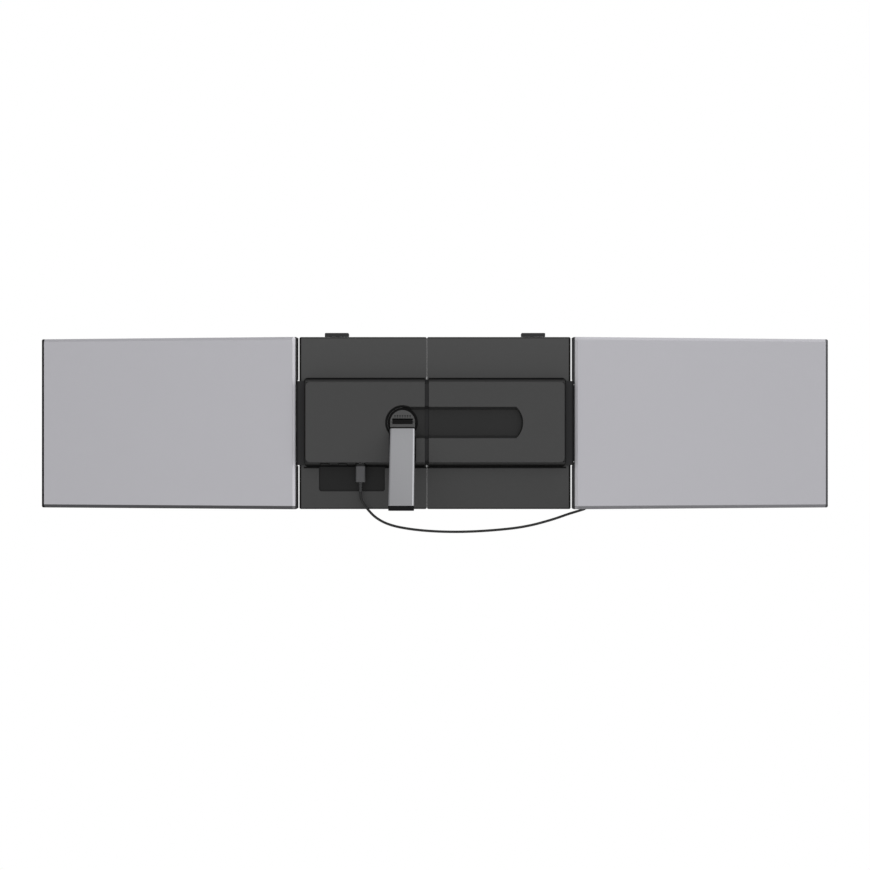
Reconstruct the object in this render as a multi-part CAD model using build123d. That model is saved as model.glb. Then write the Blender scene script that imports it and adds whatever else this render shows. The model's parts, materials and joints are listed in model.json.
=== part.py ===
from build123d import *
import os
from math import pi, radians, sqrt, tan

# Laptop screen extender: two screens on a telescoping frame that hangs on the back of a laptop's lid.
# Millimetres, +Z up. The lid and the user are at +Y, the kickstand at -Y, and -X is the left half.
# The origin is on a rubber pad of the right half, on the face that rests against the lid.

# Centre frame: two trays, each closed by a sheet on the lid's side
HOUSING_MARGIN = 5.35
PLATE_STEP = 0.55
PLATE_THICKNESS = 5.0
PLATE_WALL = 1.5
PLATE_CORNER = 2.0
SHEET_THICKNESS = 1.2
SHEET_GAP = 0.1
SEAM_REACH = 28.85
PLATE_SEAM = 0.3
SHEET_CORNER = 0.6
PLATE_SCREW_OUTER = 7.0
PLATE_SCREW_INNER = 26.0
PLATE_SCREW_END = 10.5
PLATE_SCREW_LENGTH = 3.2
PAD_THICKNESS = 1.0
PAD_WIDTH = 12.0
PAD_HEIGHT = 140.0
PAD_CORNER = 2.0
PAD_INSET = 16.35
PAD_SEAM_INSETS = {"left": 14.25, "right": 9.75}

# Raised housing with the leg's recess
HOUSING_WIDTH = 314.0
HOUSING_HEIGHT = 106.6
HOUSING_Z = 1.0
HOUSING_DEPTH = 14.0
HOUSING_WALL = 1.6
HOUSING_CORNER = 5.0
END_DRAFT = 3.0
SIDE_DRAFT = 5.8
HOUSING_SEAM = 4.8
GROOVE_WIDTH = 1.4
GROOVE_DEPTH = 0.8
RECESS_DEPTH = 6.5
RECESS_HALF = 19.0
RECESS_DRAFT = 3.7
RECESS_END_INSET = 52.1
RECESS_END_RADIUS = 26.0
RECESS_END_DRAFT = 1.5
OVERCUT = 1.0

# Telescoping slide
SLEEVE_CLEARANCE = 0.4
SLEEVE_WALL = 1.5
SLEEVE_BOARD_GAP = 3.0
SLEEVE_END_GAP = 12.9
SLEEVE_LIFT = 0.3
RAIL_WIDTH = 12.0
RAIL_THICKNESS = 2.5
RAIL_SPREAD = 33.0
RAIL_LIFT = 1.0
RAIL_GAP = 0.3
RAIL_SLEEVE_INSET = 2.0
RAIL_END_INSET = 4.0
CARRIAGE_SEAM_GAP = 2.0
CARRIAGE_LENGTH = 30.0
CARRIAGE_WALL = 3.0
MOUNT_LENGTH = 10.0

# Kickstand
PIVOT_INSET = 118.4
PIVOT_Z = 0.5
HEAD_RADIUS = 14.85
POCKET_RADIUS = 18.2
POCKET_DRAFT = 2.7
POCKET_DEPTH = 8.2
FLANGE_THICKNESS = 1.3
HEAD_GAP = 0.3
DOT_COUNT = 7
DOT_PITCH = 3.0
DOT_LIFT = 7.9
DOT_RADIUS = 0.55
DOT_DEPTH = 0.4
SHAFT_RADIUS = 6.0
SHAFT_GAP = 0.05
WASHER_RADIUS = 9.0
WASHER_THICKNESS = 1.0
SWIVEL_SCREW_RADIUS = 2.0
SWIVEL_HEAD_RADIUS = 3.6
SWIVEL_HEAD_HEIGHT = 1.4
TILT_AXIS_Z = 2.0
TILT_AXIS_DEPTH = 3.0
BARREL_RADIUS = 3.15
BARREL_LENGTH = 24.4
BARREL_GAP = 0.2
TILT_PIN_RADIUS = 1.25
LEG_WIDTH = 29.5
LEG_THICKNESS = 5.6
LEG_LENGTH = 139.3
LEG_TILT = 43.5
COLLAR_START = 4.8
COLLAR_LENGTH = 6.9
COLLAR_CHAMFER = 0.5
FOOT_LENGTH = 3.6
FOOT_TONGUE = 2.2
FOOT_CORNER = 1.0
LEG_COVER_THICKNESS = 1.6
LEG_COVER_CORNER = 0.4
LEG_COVER_SETBACK = 0.4
LEG_GAP = 0.1
LEG_BEVEL = 2.2
LEG_BEVEL_DEPTH = 0.9
CHANNEL_GAP = 1.3

# Ports and the lead
PORT_INSETS = (68.2, 46.9, 25.6)
PORT_DEPTH = 7.5
PORT_POCKET_INSETS = (18.1, 97.0)
PORT_POCKET_HEIGHT = 29.4
PORT_POCKET_DEPTH = 2.0
PORT_POCKET_OVERLAP = 3.0
PORT_POCKET_CORNER = 3.0
PORT_OPENING_DEPTH = 10.0
PLUG_WIDTH = 11.4
PLUG_THICKNESS = 6.0
PLUG_SHOULDER = 2.0
PLUG_LENGTH = 22.6
PLUG_GAP = 0.5
PLUG_CORNER = 2.2
PLUG_CHAMFER = 0.8
PORT_CORNER = 2.4
SHELL_WIDTH = 8.25
SHELL_THICKNESS = 2.4
SHELL_LENGTH = 6.6
SHELL_WALL = 0.3
SOCKET_WALL = 0.4
SOCKET_GAP = 0.1
SOCKET_LENGTH = 8.0
SOCKET_BACK = 0.8
SOCKET_INSET = 6.3
TONGUE_WIDTH = 6.6
TONGUE_THICKNESS = 0.7
TONGUE_INSET = 1.3
BOARD_THICKNESS = 1.6
BOARD_CORNER = 1.0
BOARD_INSETS = (7.0, 78.0)
BOARD_LIFT = 2.2
BOARD_HEIGHT = 63.0
BOARD_HOLE_INSET = 5.0
CHIP_SIZE = 12.0
CHIP_HEIGHT = 1.2
CHIP_PITCH = 24.0
BOOT_RADIUS = 2.0
BOOT_TAPER = 0.2
BOOT_LENGTH = 11.5
BOOT_GROOVES = 3
BOOT_GROOVE_START = 2.7
BOOT_GROOVE_PITCH = 2.6
BOOT_GROOVE_WIDTH = 1.0
BOOT_GROOVE_DEPTH = 0.5
LEAD_RADIUS = 1.5
LEAD_BEND_SHARE = 0.45
GLAND_RADIUS = 1.7
GLAND_REACH = 15.1
GLAND_LIP = 0.4
LEAD_FROM_BOOT = (
    (0.0, 0.0, 0.0),
    (0.0, 0.0, -6.7),
    (2.5, 0.5, -12.9),
    (9.2, 1.6, -22.1),
    (19.8, 3.0, -31.4),
    (35.8, 4.2, -39.2),
    (58.8, 5.0, -44.9),
    (88.8, 5.5, -47.7),
    (123.8, 6.1, -48.2),
)
LEAD_TO_GLAND = (
    (-108.6, -12.9, -24.4),
    (-72.6, -10.3, -19.9),
    (-40.6, -6.3, -12.5),
    (-18.6, -2.5, -5.0),
    (-8.4, -0.9, -2.0),
    (-1.4, 0.0, -1.6),
)

# Screens, drawn flat beside the frame and then turned about their hinges
PANEL_WIDTH = 322.6
PANEL_HEIGHT = 207.0
PANEL_FRONT_Y = 6.5
PANEL_REAR_Y = -2.5
LEAF_SEAT_Y = 2.0
RIM_SPLIT_Y = 0.4
SPINE_WIDTH = 1.4
PANEL_CORNER = 2.0
PANEL_WALL = 1.2
PANEL_SIDE_WALL = 1.6
PANEL_BEVEL = 3.4
PANEL_BEVEL_DEPTH = 2.4
BEZEL_WALL = 4.0
GLASS_INSET = 1.8
HINGE_MARGIN = 2.4
GLASS_THICKNESS = 0.8
GLASS_GAP = 0.1
GLASS_DROP = 0.05
LCD_SIDE_INSET = 7.3
LCD_END_INSET = 6.5
LCD_THICKNESS = 2.2
DRIVER_BOARD_SIZE = (96.0, 34.0)
DRIVER_BOARD_LIFT = 41.5
DRIVER_CHIP_PITCH = 30.0
DRIVER_CHIP_HEIGHT = 0.9
TOE_ANGLE = 10.0

# Screen hinges
HINGE_OUTSET = 2.25
HINGE_HALF = 46.0
KNUCKLE_RADIUS = 2.4
KNUCKLE_COUNT = 5
KNUCKLE_GAP = 0.3
PIN_RADIUS = 1.25
PIN_GAP = 0.05
LEFT_EDGE_GAP = 0.95
RIGHT_EDGE_GAP = -0.2
PAD_FOLD_GAP = 1.5
PANEL_FOLD_GAP = 0.5
BRACKET_THICKNESS = 1.5
BRACKET_SCREW_ZS = (-36.0, 0.0, 36.0)
WEB_INNER_GAP = 0.3
WEB_OUTER_GAP = 0.5
FLANGE_WIDTH = 4.2
LEAF_THICKNESS = 1.2
LEAF_REACH = 22.0
LEAF_GAP = 0.3
LEAF_SCREW_ZS = (-36.0, -15.0, 15.0, 36.0)
LEAF_SCREW_INSET = 6.0
LEAF_SCREW_LENGTH = 3.2
BAND_HALF = 50.3
BAND_OVERLAP = 3.5
BAND_OUTSET = 1.3
BAND_DEPTH = 3.2
BAND_FRONT_Y = -3.2
BAND_WALL = 1.0
BAND_ROUNDING = 1.6

# Clips over the lid's top edge
CLIP_INSET = 44.65
CLIP_WIDTH = 28.5
CLIP_RISE = 5.0
CLIP_THROAT = 8.0
CLIP_LIP = 1.5
CLIP_WEB = 1.6
CLIP_OVERLAP = 2.4
CLIP_GAP = 0.3
CLIP_REAR_Y = -5.4
CLIP_PAD = 0.6
CLIP_CORNER = 1.0
CLIP_ROUNDING = 0.7
ARM_WIDTH = 18.0
ARM_THICKNESS = 1.5
ARM_LENGTH = 44.0
ARM_GAP = 0.4

# Keys on the screens' outer edges
KEY_LIFTS = {"power_button": 45.5, "menu_button": 29.5}
KEY_LENGTH = 8.0
KEY_WIDTH = 2.0
KEY_PROUD = 0.6
KEY_GAP = 0.15
KEY_LIP = 0.8

# Small screws
SCREW_RADIUS = 0.85
SCREW_HEAD_RADIUS = 1.7
SCREW_HEAD_HEIGHT = 0.8
SCREW_GAP = 0.05
BOSS_RADIUS = 2.4

# Levels that follow from the sizes above
GLASS_REAR_Y = PANEL_FRONT_Y - GLASS_THICKNESS - GLASS_GAP
EDGE_MIDDLE_Y = (LEAF_SEAT_Y + GLASS_REAR_Y) / 2
PLATE_FRONT = -PAD_THICKNESS
PLATE_REAR = PLATE_FRONT - PLATE_THICKNESS
SHEET_REAR = PLATE_FRONT - SHEET_THICKNESS
TRAY_FLOOR = PLATE_REAR + PLATE_WALL
HOUSING_REAR = PLATE_REAR - HOUSING_DEPTH
RECESS_FLOOR = HOUSING_REAR + RECESS_DEPTH
POCKET_FLOOR = HOUSING_REAR + POCKET_DEPTH
HOUSING_EDGE = HOUSING_WIDTH / 2
PIVOT_X = PIVOT_INSET - HOUSING_EDGE
SEAM_X = PIVOT_X + SEAM_REACH
HOUSING_BOTTOM = HOUSING_Z - HOUSING_HEIGHT / 2
FRAME_EDGE = HOUSING_EDGE + HOUSING_MARGIN
HINGE_X = FRAME_EDGE + HINGE_OUTSET
BAND_INNER_X = HOUSING_EDGE - BAND_OVERLAP
BAND_OUTER_X = HINGE_X + BAND_OUTSET
CLIP_X = FRAME_EDGE - CLIP_INSET
RECESS_END_X = HOUSING_EDGE - RECESS_END_INSET
PLATE_TOP = PANEL_HEIGHT / 2 - PLATE_STEP
TILT_AXIS_Y = HOUSING_REAR + TILT_AXIS_DEPTH
PORT_Y = PLATE_REAR - PORT_DEPTH
PORT_XS = tuple(inset - HOUSING_EDGE for inset in PORT_INSETS)
PORT_POCKET_X = tuple(inset - HOUSING_EDGE for inset in PORT_POCKET_INSETS)
PORT_POCKET_BOTTOM = HOUSING_BOTTOM - PORT_POCKET_HEIGHT
SOCKET_FACE = HOUSING_BOTTOM + SOCKET_INSET
PLUG_TOP = SOCKET_FACE - PLUG_SHOULDER
PLUG_BOTTOM = PLUG_TOP - PLUG_LENGTH
BOARD_X = tuple(inset - HOUSING_EDGE for inset in BOARD_INSETS)
BOARD_Z = (SOCKET_FACE + BOARD_LIFT, SOCKET_FACE + BOARD_LIFT + BOARD_HEIGHT)
SLEEVE_LEFT = BOARD_X[1] + SLEEVE_BOARD_GAP
SLEEVE_RIGHT = RECESS_END_X - SLEEVE_END_GAP
RAIL_LEFT = SLEEVE_LEFT + RAIL_SLEEVE_INSET
RAIL_RIGHT = SLEEVE_RIGHT - RAIL_END_INSET
PANEL_BOTTOM = -PANEL_HEIGHT / 2
LCD_WIDTH = PANEL_WIDTH - 2 * LCD_SIDE_INSET
LCD_HEIGHT = PANEL_HEIGHT - 2 * LCD_END_INSET
DRIVER_BOARD_Z = PANEL_BOTTOM + DRIVER_BOARD_LIFT
KEY_ZS = {name: PANEL_BOTTOM + lift for name, lift in KEY_LIFTS.items()}
LEFT_AXIS_Y = (PANEL_FRONT_Y + PAD_FOLD_GAP) / 2
LEFT_FOLDED_Y = 2 * LEFT_AXIS_Y - PANEL_REAR_Y
RIGHT_AXIS_Y = (PANEL_FRONT_Y + LEFT_FOLDED_Y + PANEL_FOLD_GAP) / 2
HINGE_SIDES = {
    "left": (LEFT_AXIS_Y, LEFT_EDGE_GAP),
    "right": (RIGHT_AXIS_Y, RIGHT_EDGE_GAP),
}


# ---------------------------------------------------------------- helpers

def block(x0, x1, y0, y1, z0, z1):
    """Box between two corners."""
    centre = ((x0 + x1) / 2, (y0 + y1) / 2, (z0 + z1) / 2)
    return Pos(*centre) * Box(abs(x1 - x0), abs(y1 - y0), abs(z1 - z0))


def rear_plane(y):
    """Sketch plane at y, seen from the rear side: its x and y are X and Z, its normal is -Y."""
    return Plane(origin=(0, y, 0), x_dir=(1, 0, 0), z_dir=(0, -1, 0))


def slab(sketch, y_front, y_rear):
    """Sketch in X and Z made solid from y_front back to y_rear."""
    return extrude(rear_plane(y_front) * sketch, amount=y_front - y_rear)


def drafted(front, y_front, rear, y_rear):
    """Solid between two sketches in X and Z, straight from one to the other."""
    sections = [(rear_plane(y_front) * front).face(), (rear_plane(y_rear) * rear).face()]
    return loft(sections, ruled=True)


def post(x, z, radius, y_front, y_rear):
    """Round post along Y."""
    return slab(Pos(x, z) * Circle(radius), y_front, y_rear)


def upright(x, y, radius, z0, z1):
    """Round bar along Z."""
    return Pos(x, y, (z0 + z1) / 2) * Cylinder(radius, z1 - z0)


def crossbar(y, z, radius, x0, x1):
    """Round bar along X."""
    return Pos((x0 + x1) / 2, y, z) * Rot(0, 90, 0) * Cylinder(radius, x1 - x0)


def rounded(x0, x1, z0, z1, radius):
    """Rectangle in X and Z with rounded corners."""
    return Pos((x0 + x1) / 2, (z0 + z1) / 2) * RectangleRounded(x1 - x0, z1 - z0, radius)


def to_left(shape):
    """Mirror a piece of the right half to the left."""
    return mirror(shape, about=Plane.YZ)


def group(solids):
    """Separate solids kept in one piece's file."""
    return Compound([part.solid() for part in solids])


def save(name, shape):
    """Write one piece."""
    export_step(shape, "parts/" + name + ".step")


# ---------------------------------------------------------------- centre frame

def plate_span(side):
    """Left and right edge of one half's plate."""
    if side == "left":
        return -FRAME_EDGE, SEAM_X - PLATE_SEAM / 2
    return SEAM_X + PLATE_SEAM / 2, FRAME_EDGE


def plate_screw_places(side):
    """Centres of the screws that hold one front sheet."""
    x0, x1 = plate_span(side)
    outer, inner = x1 - PLATE_SCREW_OUTER, x0 + PLATE_SCREW_INNER
    if side == "left":
        outer, inner = x0 + PLATE_SCREW_OUTER, x1 - PLATE_SCREW_INNER
    end = PLATE_TOP - PLATE_SCREW_END
    return [(x, z) for x in (outer, inner) for z in (-end, 0.0, end)]


def clip_x(side):
    """Centre of one side's clip."""
    return -CLIP_X if side == "left" else CLIP_X


def hinge_screw_x(side):
    """Centre line of the bracket's screws."""
    x = FRAME_EDGE - FLANGE_WIDTH / 2
    return -x if side == "left" else x


def back_plate(side):
    """Rear tray of one half: floor, rim, screw bosses, clip guides and the hinge's seat."""
    x0, x1 = plate_span(side)
    tray = slab(rounded(x0, x1, -PLATE_TOP, PLATE_TOP, PLATE_CORNER), PLATE_FRONT, PLATE_REAR)
    inside = rounded(x0 + PLATE_WALL, x1 - PLATE_WALL, PLATE_WALL - PLATE_TOP, PLATE_TOP - PLATE_WALL,
                     SHEET_CORNER)
    tray -= slab(inside, PLATE_FRONT, TRAY_FLOOR)
    for x, z in plate_screw_places(side):
        tray += post(x, z, BOSS_RADIUS, SHEET_REAR, TRAY_FLOOR - PLATE_WALL / 2)
        tray -= post(x, z, SCREW_RADIUS + SCREW_GAP, PLATE_FRONT, TRAY_FLOOR)
    tray += clip_guides(clip_x(side))
    tray -= clip_slot(clip_x(side))
    tray += hinge_seat(side)
    tray -= housing_groove()
    for z in BRACKET_SCREW_ZS:
        tray -= post(hinge_screw_x(side), z, SCREW_RADIUS + SCREW_GAP, TRAY_FLOOR + PLATE_WALL, PLATE_REAR)
    if side == "left":
        tray = with_port_pocket(tray)
    return tray


def clip_guides(x):
    """Two ribs on the tray's floor that the clip's arm slides between."""
    ribs = Part()
    for edge in (-1, 1):
        inner = x + edge * (ARM_WIDTH / 2 + ARM_GAP)
        outer = inner + edge * PLATE_WALL
        ribs += block(min(inner, outer), max(inner, outer), SHEET_REAR - SHEET_GAP, TRAY_FLOOR - 0.5,
                      PLATE_TOP - ARM_LENGTH, PLATE_TOP - 0.5)
    return ribs


def clip_slot(x):
    """Slot in the tray's top wall for the clip's arm."""
    half = ARM_WIDTH / 2 + ARM_GAP
    return block(x - half, x + half, PLATE_FRONT, TRAY_FLOOR, PLATE_TOP - PLATE_WALL - 0.5, PLATE_TOP + 1)


def hinge_seat(side):
    """Thick strip at the tray's outer edge that the hinge bracket is screwed to."""
    inner = FRAME_EDGE - FLANGE_WIDTH - PLATE_WALL
    seat = block(inner, FRAME_EDGE - PLATE_WALL / 2, SHEET_REAR - SHEET_GAP, TRAY_FLOOR - 0.5,
                 -HINGE_HALF, HINGE_HALF)
    return to_left(seat) if side == "left" else seat


def housing_groove():
    """Shallow groove in the plates along the housing's lower edge."""
    return block(-HOUSING_EDGE, HOUSING_EDGE, PLATE_REAR + GROOVE_DEPTH, PLATE_REAR,
                 HOUSING_BOTTOM - GROOVE_WIDTH, HOUSING_BOTTOM)


def with_port_pocket(tray):
    """Shallow pocket below the housing that makes room for plugs."""
    x0, x1 = PORT_POCKET_X
    top = HOUSING_BOTTOM + PORT_POCKET_OVERLAP
    backing = block(x0 - PLATE_WALL, x1 + PLATE_WALL, TRAY_FLOOR - 0.5, TRAY_FLOOR + PORT_POCKET_DEPTH,
                    PORT_POCKET_BOTTOM - PLATE_WALL, top)
    outline = rounded(x0, x1, PORT_POCKET_BOTTOM, top, PORT_POCKET_CORNER)
    pocket = slab(outline, PLATE_REAR + PORT_POCKET_DEPTH, PLATE_REAR)
    bosses = Part()
    for x, z in board_holes():
        bosses += post(x, z, BOSS_RADIUS, PLATE_REAR + 0.5, board_front())
    return tray + backing - pocket + bosses


def board_holes():
    """Centres of the hub board's four holes."""
    inset = BOARD_HOLE_INSET
    return [(x, z) for x in (BOARD_X[0] + inset, BOARD_X[1] - inset)
            for z in (BOARD_Z[0] + inset, BOARD_Z[1] - inset)]


def front_plate(side):
    """Sheet that closes one tray on the lid's side."""
    x0, x1 = plate_span(side)
    rim = PLATE_WALL + SHEET_GAP
    outline = rounded(x0 + rim, x1 - rim, rim - PLATE_TOP, PLATE_TOP - rim, SHEET_CORNER)
    sheet = slab(outline, PLATE_FRONT, SHEET_REAR)
    for x, z in plate_screw_places(side):
        sheet -= post(x, z, SCREW_RADIUS + SCREW_GAP, PLATE_FRONT, SHEET_REAR)
        sheet -= post(x, z, SCREW_HEAD_RADIUS + SCREW_GAP, PLATE_FRONT, PLATE_FRONT - SCREW_HEAD_HEIGHT)
    return sheet


def screw(x, z, y_head, length, head=SCREW_HEAD_RADIUS):
    """Small screw along Y with its head towards +Y."""
    body = post(x, z, head, y_head, y_head - SCREW_HEAD_HEIGHT)
    return body + post(x, z, SCREW_RADIUS, y_head - SCREW_HEAD_HEIGHT, y_head - length)


def plate_screws(side):
    """Screws of one front sheet."""
    return group([screw(x, z, PLATE_FRONT, PLATE_SCREW_LENGTH) for x, z in plate_screw_places(side)])


def lid_pads(side):
    """Two rubber strips that rest against the laptop's lid."""
    hand = -1 if side == "left" else 1
    centres = (SEAM_X + hand * PAD_SEAM_INSETS[side], hand * (FRAME_EDGE - PAD_INSET))
    strips = []
    for x in centres:
        outline = rounded(x - PAD_WIDTH / 2, x + PAD_WIDTH / 2, -PAD_HEIGHT / 2, PAD_HEIGHT / 2, PAD_CORNER)
        strips.append(slab(outline, 0, PLATE_FRONT))
    return group(strips)


# ---------------------------------------------------------------- housing

def housing_form(inset=0.0):
    """Drafted block of the housing, or the same block made smaller by a wall."""
    width = HOUSING_WIDTH - 2 * inset
    height = HOUSING_HEIGHT - 2 * inset
    corner = max(HOUSING_CORNER - inset, 0.8)
    base = Pos(0, HOUSING_Z) * RectangleRounded(width, height, corner)
    face = Pos(0, HOUSING_Z) * RectangleRounded(width - 2 * END_DRAFT, height - 2 * SIDE_DRAFT, corner)
    return drafted(base, PLATE_REAR, face, HOUSING_REAR + inset)


def slot_outline(half, tip, radius):
    """Plan of the leg's slot: straight from the pivot, with a bulging right end."""
    shoulder = tip - radius + sqrt(radius ** 2 - half ** 2)
    sides = Polyline((shoulder, half), (PIVOT_X, half), (PIVOT_X, -half), (shoulder, -half))
    end = ThreePointArc((shoulder, -half), (tip, 0), (shoulder, half))
    return Pos(0, PIVOT_Z) * make_face(sides.edges() + end.edges())


def slot_at(y, grow):
    """The slot's outline at depth y."""
    inward = (y - HOUSING_REAR) / RECESS_DEPTH
    half = RECESS_HALF - RECESS_DRAFT * inward + grow
    tip = RECESS_END_X - RECESS_END_DRAFT * inward + grow
    return slot_outline(half, tip, RECESS_END_RADIUS + grow)


def recess_form(grow=0.0):
    """Space of the stowed leg: slot to the right, round pocket, and the channel that the leg lies in below."""
    surface = HOUSING_REAR - OVERCUT
    floor = RECESS_FLOOR + grow
    slot = drafted(slot_at(floor, grow), floor, slot_at(surface, grow), surface)
    mouth = POCKET_RADIUS + POCKET_DRAFT * (1 + OVERCUT / RECESS_DEPTH) + grow
    hub = Pos(PIVOT_X, PIVOT_Z) * Circle(POCKET_RADIUS + grow)
    rim = Pos(PIVOT_X, PIVOT_Z) * Circle(mouth)
    pocket = drafted(hub, RECESS_FLOOR, rim, surface) + slab(hub, POCKET_FLOOR + grow, RECESS_FLOOR)
    half = LEG_WIDTH / 2 + CHANNEL_GAP + grow
    bottom = HOUSING_BOTTOM - OVERCUT
    channel = block(PIVOT_X - half, PIVOT_X + half, surface, floor, bottom, PIVOT_Z)
    return slot + pocket + channel


def housing_shell(outer_inset, wall):
    """Even wall that follows the housing's outside and its recess."""
    outer = housing_form(outer_inset) - recess_form(outer_inset)
    inner = housing_form(outer_inset + wall) - recess_form(outer_inset + wall)
    return outer - inner


def housing_cover(side, shell):
    """One half of the housing, cut off at the seam."""
    far = HOUSING_WIDTH
    if side == "right":
        return shell & block(SEAM_X + HOUSING_SEAM / 2, far, HOUSING_REAR - 1, PLATE_REAR, -far, far)
    cover = shell & block(-far, SEAM_X - HOUSING_SEAM / 2, HOUSING_REAR - 1, PLATE_REAR, -far, far)
    cover -= post(PIVOT_X, PIVOT_Z, SHAFT_RADIUS + SHAFT_GAP, PLATE_REAR, HOUSING_REAR)
    for x in PORT_XS:
        cover -= port_opening(x)
    return cover


def port_opening(x):
    """Opening in the housing's lower wall that a plug's body enters."""
    outline = RectangleRounded(PLUG_WIDTH + 2 * PLUG_GAP, PLUG_THICKNESS + 2 * PLUG_GAP, PORT_CORNER)
    depth = PORT_OPENING_DEPTH
    return Pos(x, PORT_Y, SOCKET_FACE - depth) * extrude(outline, amount=depth)


def slide_sleeve():
    """Inner sleeve of the telescope: the housing's own section, one clearance smaller."""
    inset = HOUSING_WALL + SLEEVE_CLEARANCE
    far = HOUSING_HEIGHT
    reach = block(SLEEVE_LEFT, SLEEVE_RIGHT, HOUSING_REAR, PLATE_REAR - SLEEVE_LIFT, -far, far)
    sleeve = housing_shell(inset, SLEEVE_WALL) & reach
    return sleeve - post(PIVOT_X, PIVOT_Z, WASHER_RADIUS + 2, PLATE_REAR, HOUSING_REAR)


# ---------------------------------------------------------------- slide

def rail_block(z, x0, x1, gap):
    """Block on the plate with a rail's slot through it, opened by a gap."""
    half = RAIL_WIDTH / 2 + CARRIAGE_WALL
    rail_front = PLATE_REAR - RAIL_LIFT
    rail_rear = rail_front - RAIL_THICKNESS
    body = block(x0, x1, rail_rear - CARRIAGE_WALL, PLATE_REAR, z - half, z + half)
    slot_half = RAIL_WIDTH / 2 + gap
    return body - block(x0, x1, rail_rear - gap, rail_front + gap, z - slot_half, z + slot_half)


def rail_zs():
    """Heights of the two rails."""
    return (PIVOT_Z - RAIL_SPREAD, PIVOT_Z + RAIL_SPREAD)


def guide_rails():
    """Two flat steel rails that carry the slide."""
    front = PLATE_REAR - RAIL_LIFT
    half = RAIL_WIDTH / 2
    return group([block(RAIL_LEFT, RAIL_RIGHT, front - RAIL_THICKNESS, front, z - half, z + half)
                  for z in rail_zs()])


def rail_mounts():
    """Blocks that hold the rails' ends on the left plate."""
    return group([rail_block(z, RAIL_LEFT, RAIL_LEFT + MOUNT_LENGTH, SHAFT_GAP) for z in rail_zs()])


def rail_carriages():
    """Blocks on the right plate that run on the rails."""
    start = SEAM_X + PLATE_SEAM / 2 + CARRIAGE_SEAM_GAP
    return group([rail_block(z, start, start + CARRIAGE_LENGTH, RAIL_GAP) for z in rail_zs()])


# ---------------------------------------------------------------- kickstand

def swivel_base():
    """Round head that turns in the pocket: flange, shaft, top block and the two ears of the leg's hinge."""
    flange_front = POCKET_FLOOR - HEAD_GAP
    flange_rear = flange_front - FLANGE_THICKNESS
    head = Pos(PIVOT_X, PIVOT_Z) * Circle(HEAD_RADIUS)
    base = slab(head, flange_front, flange_rear)
    top = slab(head, flange_rear, HOUSING_REAR)
    room = BARREL_RADIUS + BARREL_GAP
    far = HEAD_RADIUS + 1
    below = block(PIVOT_X - far, PIVOT_X + far, flange_rear, HOUSING_REAR - 1,
                  TILT_AXIS_Z - far * 2, TILT_AXIS_Z - room)
    half = BARREL_LENGTH / 2 + BARREL_GAP
    slot = block(PIVOT_X - half, PIVOT_X + half, flange_rear, HOUSING_REAR - 1,
                 TILT_AXIS_Z - far * 2, TILT_AXIS_Z + room)
    base += top - below - slot
    base -= crossbar(TILT_AXIS_Y, TILT_AXIS_Z, TILT_PIN_RADIUS + PIN_GAP, PIVOT_X - far, PIVOT_X + far)
    base += post(PIVOT_X, PIVOT_Z, SHAFT_RADIUS, shaft_front(), flange_front)
    base -= post(PIVOT_X, PIVOT_Z, SWIVEL_SCREW_RADIUS + SCREW_GAP, shaft_front(), flange_rear)
    for step in range(DOT_COUNT):
        x = PIVOT_X + DOT_PITCH * (step - (DOT_COUNT - 1) / 2)
        base -= post(x, PIVOT_Z + DOT_LIFT, DOT_RADIUS, HOUSING_REAR + DOT_DEPTH, HOUSING_REAR)
    return base


def shaft_front():
    """Front end of the swivel's shaft, just past the housing's inner face."""
    return POCKET_FLOOR + HOUSING_WALL + HEAD_GAP


def swivel_washer():
    """Washer that keeps the head in the housing."""
    front = shaft_front() + WASHER_THICKNESS
    ring = post(PIVOT_X, PIVOT_Z, WASHER_RADIUS, front, shaft_front())
    return ring - post(PIVOT_X, PIVOT_Z, SWIVEL_SCREW_RADIUS + SCREW_GAP, front, shaft_front())


def swivel_screw():
    """Screw that clamps the washer on the shaft."""
    seat = shaft_front() + WASHER_THICKNESS
    head = post(PIVOT_X, PIVOT_Z, SWIVEL_HEAD_RADIUS, seat + SWIVEL_HEAD_HEIGHT, seat)
    return head + post(PIVOT_X, PIVOT_Z, SWIVEL_SCREW_RADIUS, seat, POCKET_FLOOR)


def tilt_pin():
    """Steel pin through the ears and the leg's barrel."""
    half = sqrt(HEAD_RADIUS ** 2 - (TILT_AXIS_Z - PIVOT_Z + TILT_PIN_RADIUS) ** 2) - 0.1
    return crossbar(TILT_AXIS_Y, TILT_AXIS_Z, TILT_PIN_RADIUS, PIVOT_X - half, PIVOT_X + half)


def leg_block(half_width, start, end, rear, front):
    """Box along the leg, which hangs straight down from the tilt axis before it is tilted."""
    return block(PIVOT_X - half_width, PIVOT_X + half_width, TILT_AXIS_Y + rear, TILT_AXIS_Y + front,
                 TILT_AXIS_Z - end, TILT_AXIS_Z - start)


def tilted(shape):
    """Turn a leg piece about the tilt axis to its rest pose."""
    axis = Axis((PIVOT_X, TILT_AXIS_Y, TILT_AXIS_Z), (1, 0, 0))
    return shape.rotate(axis, -LEG_TILT)


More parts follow.
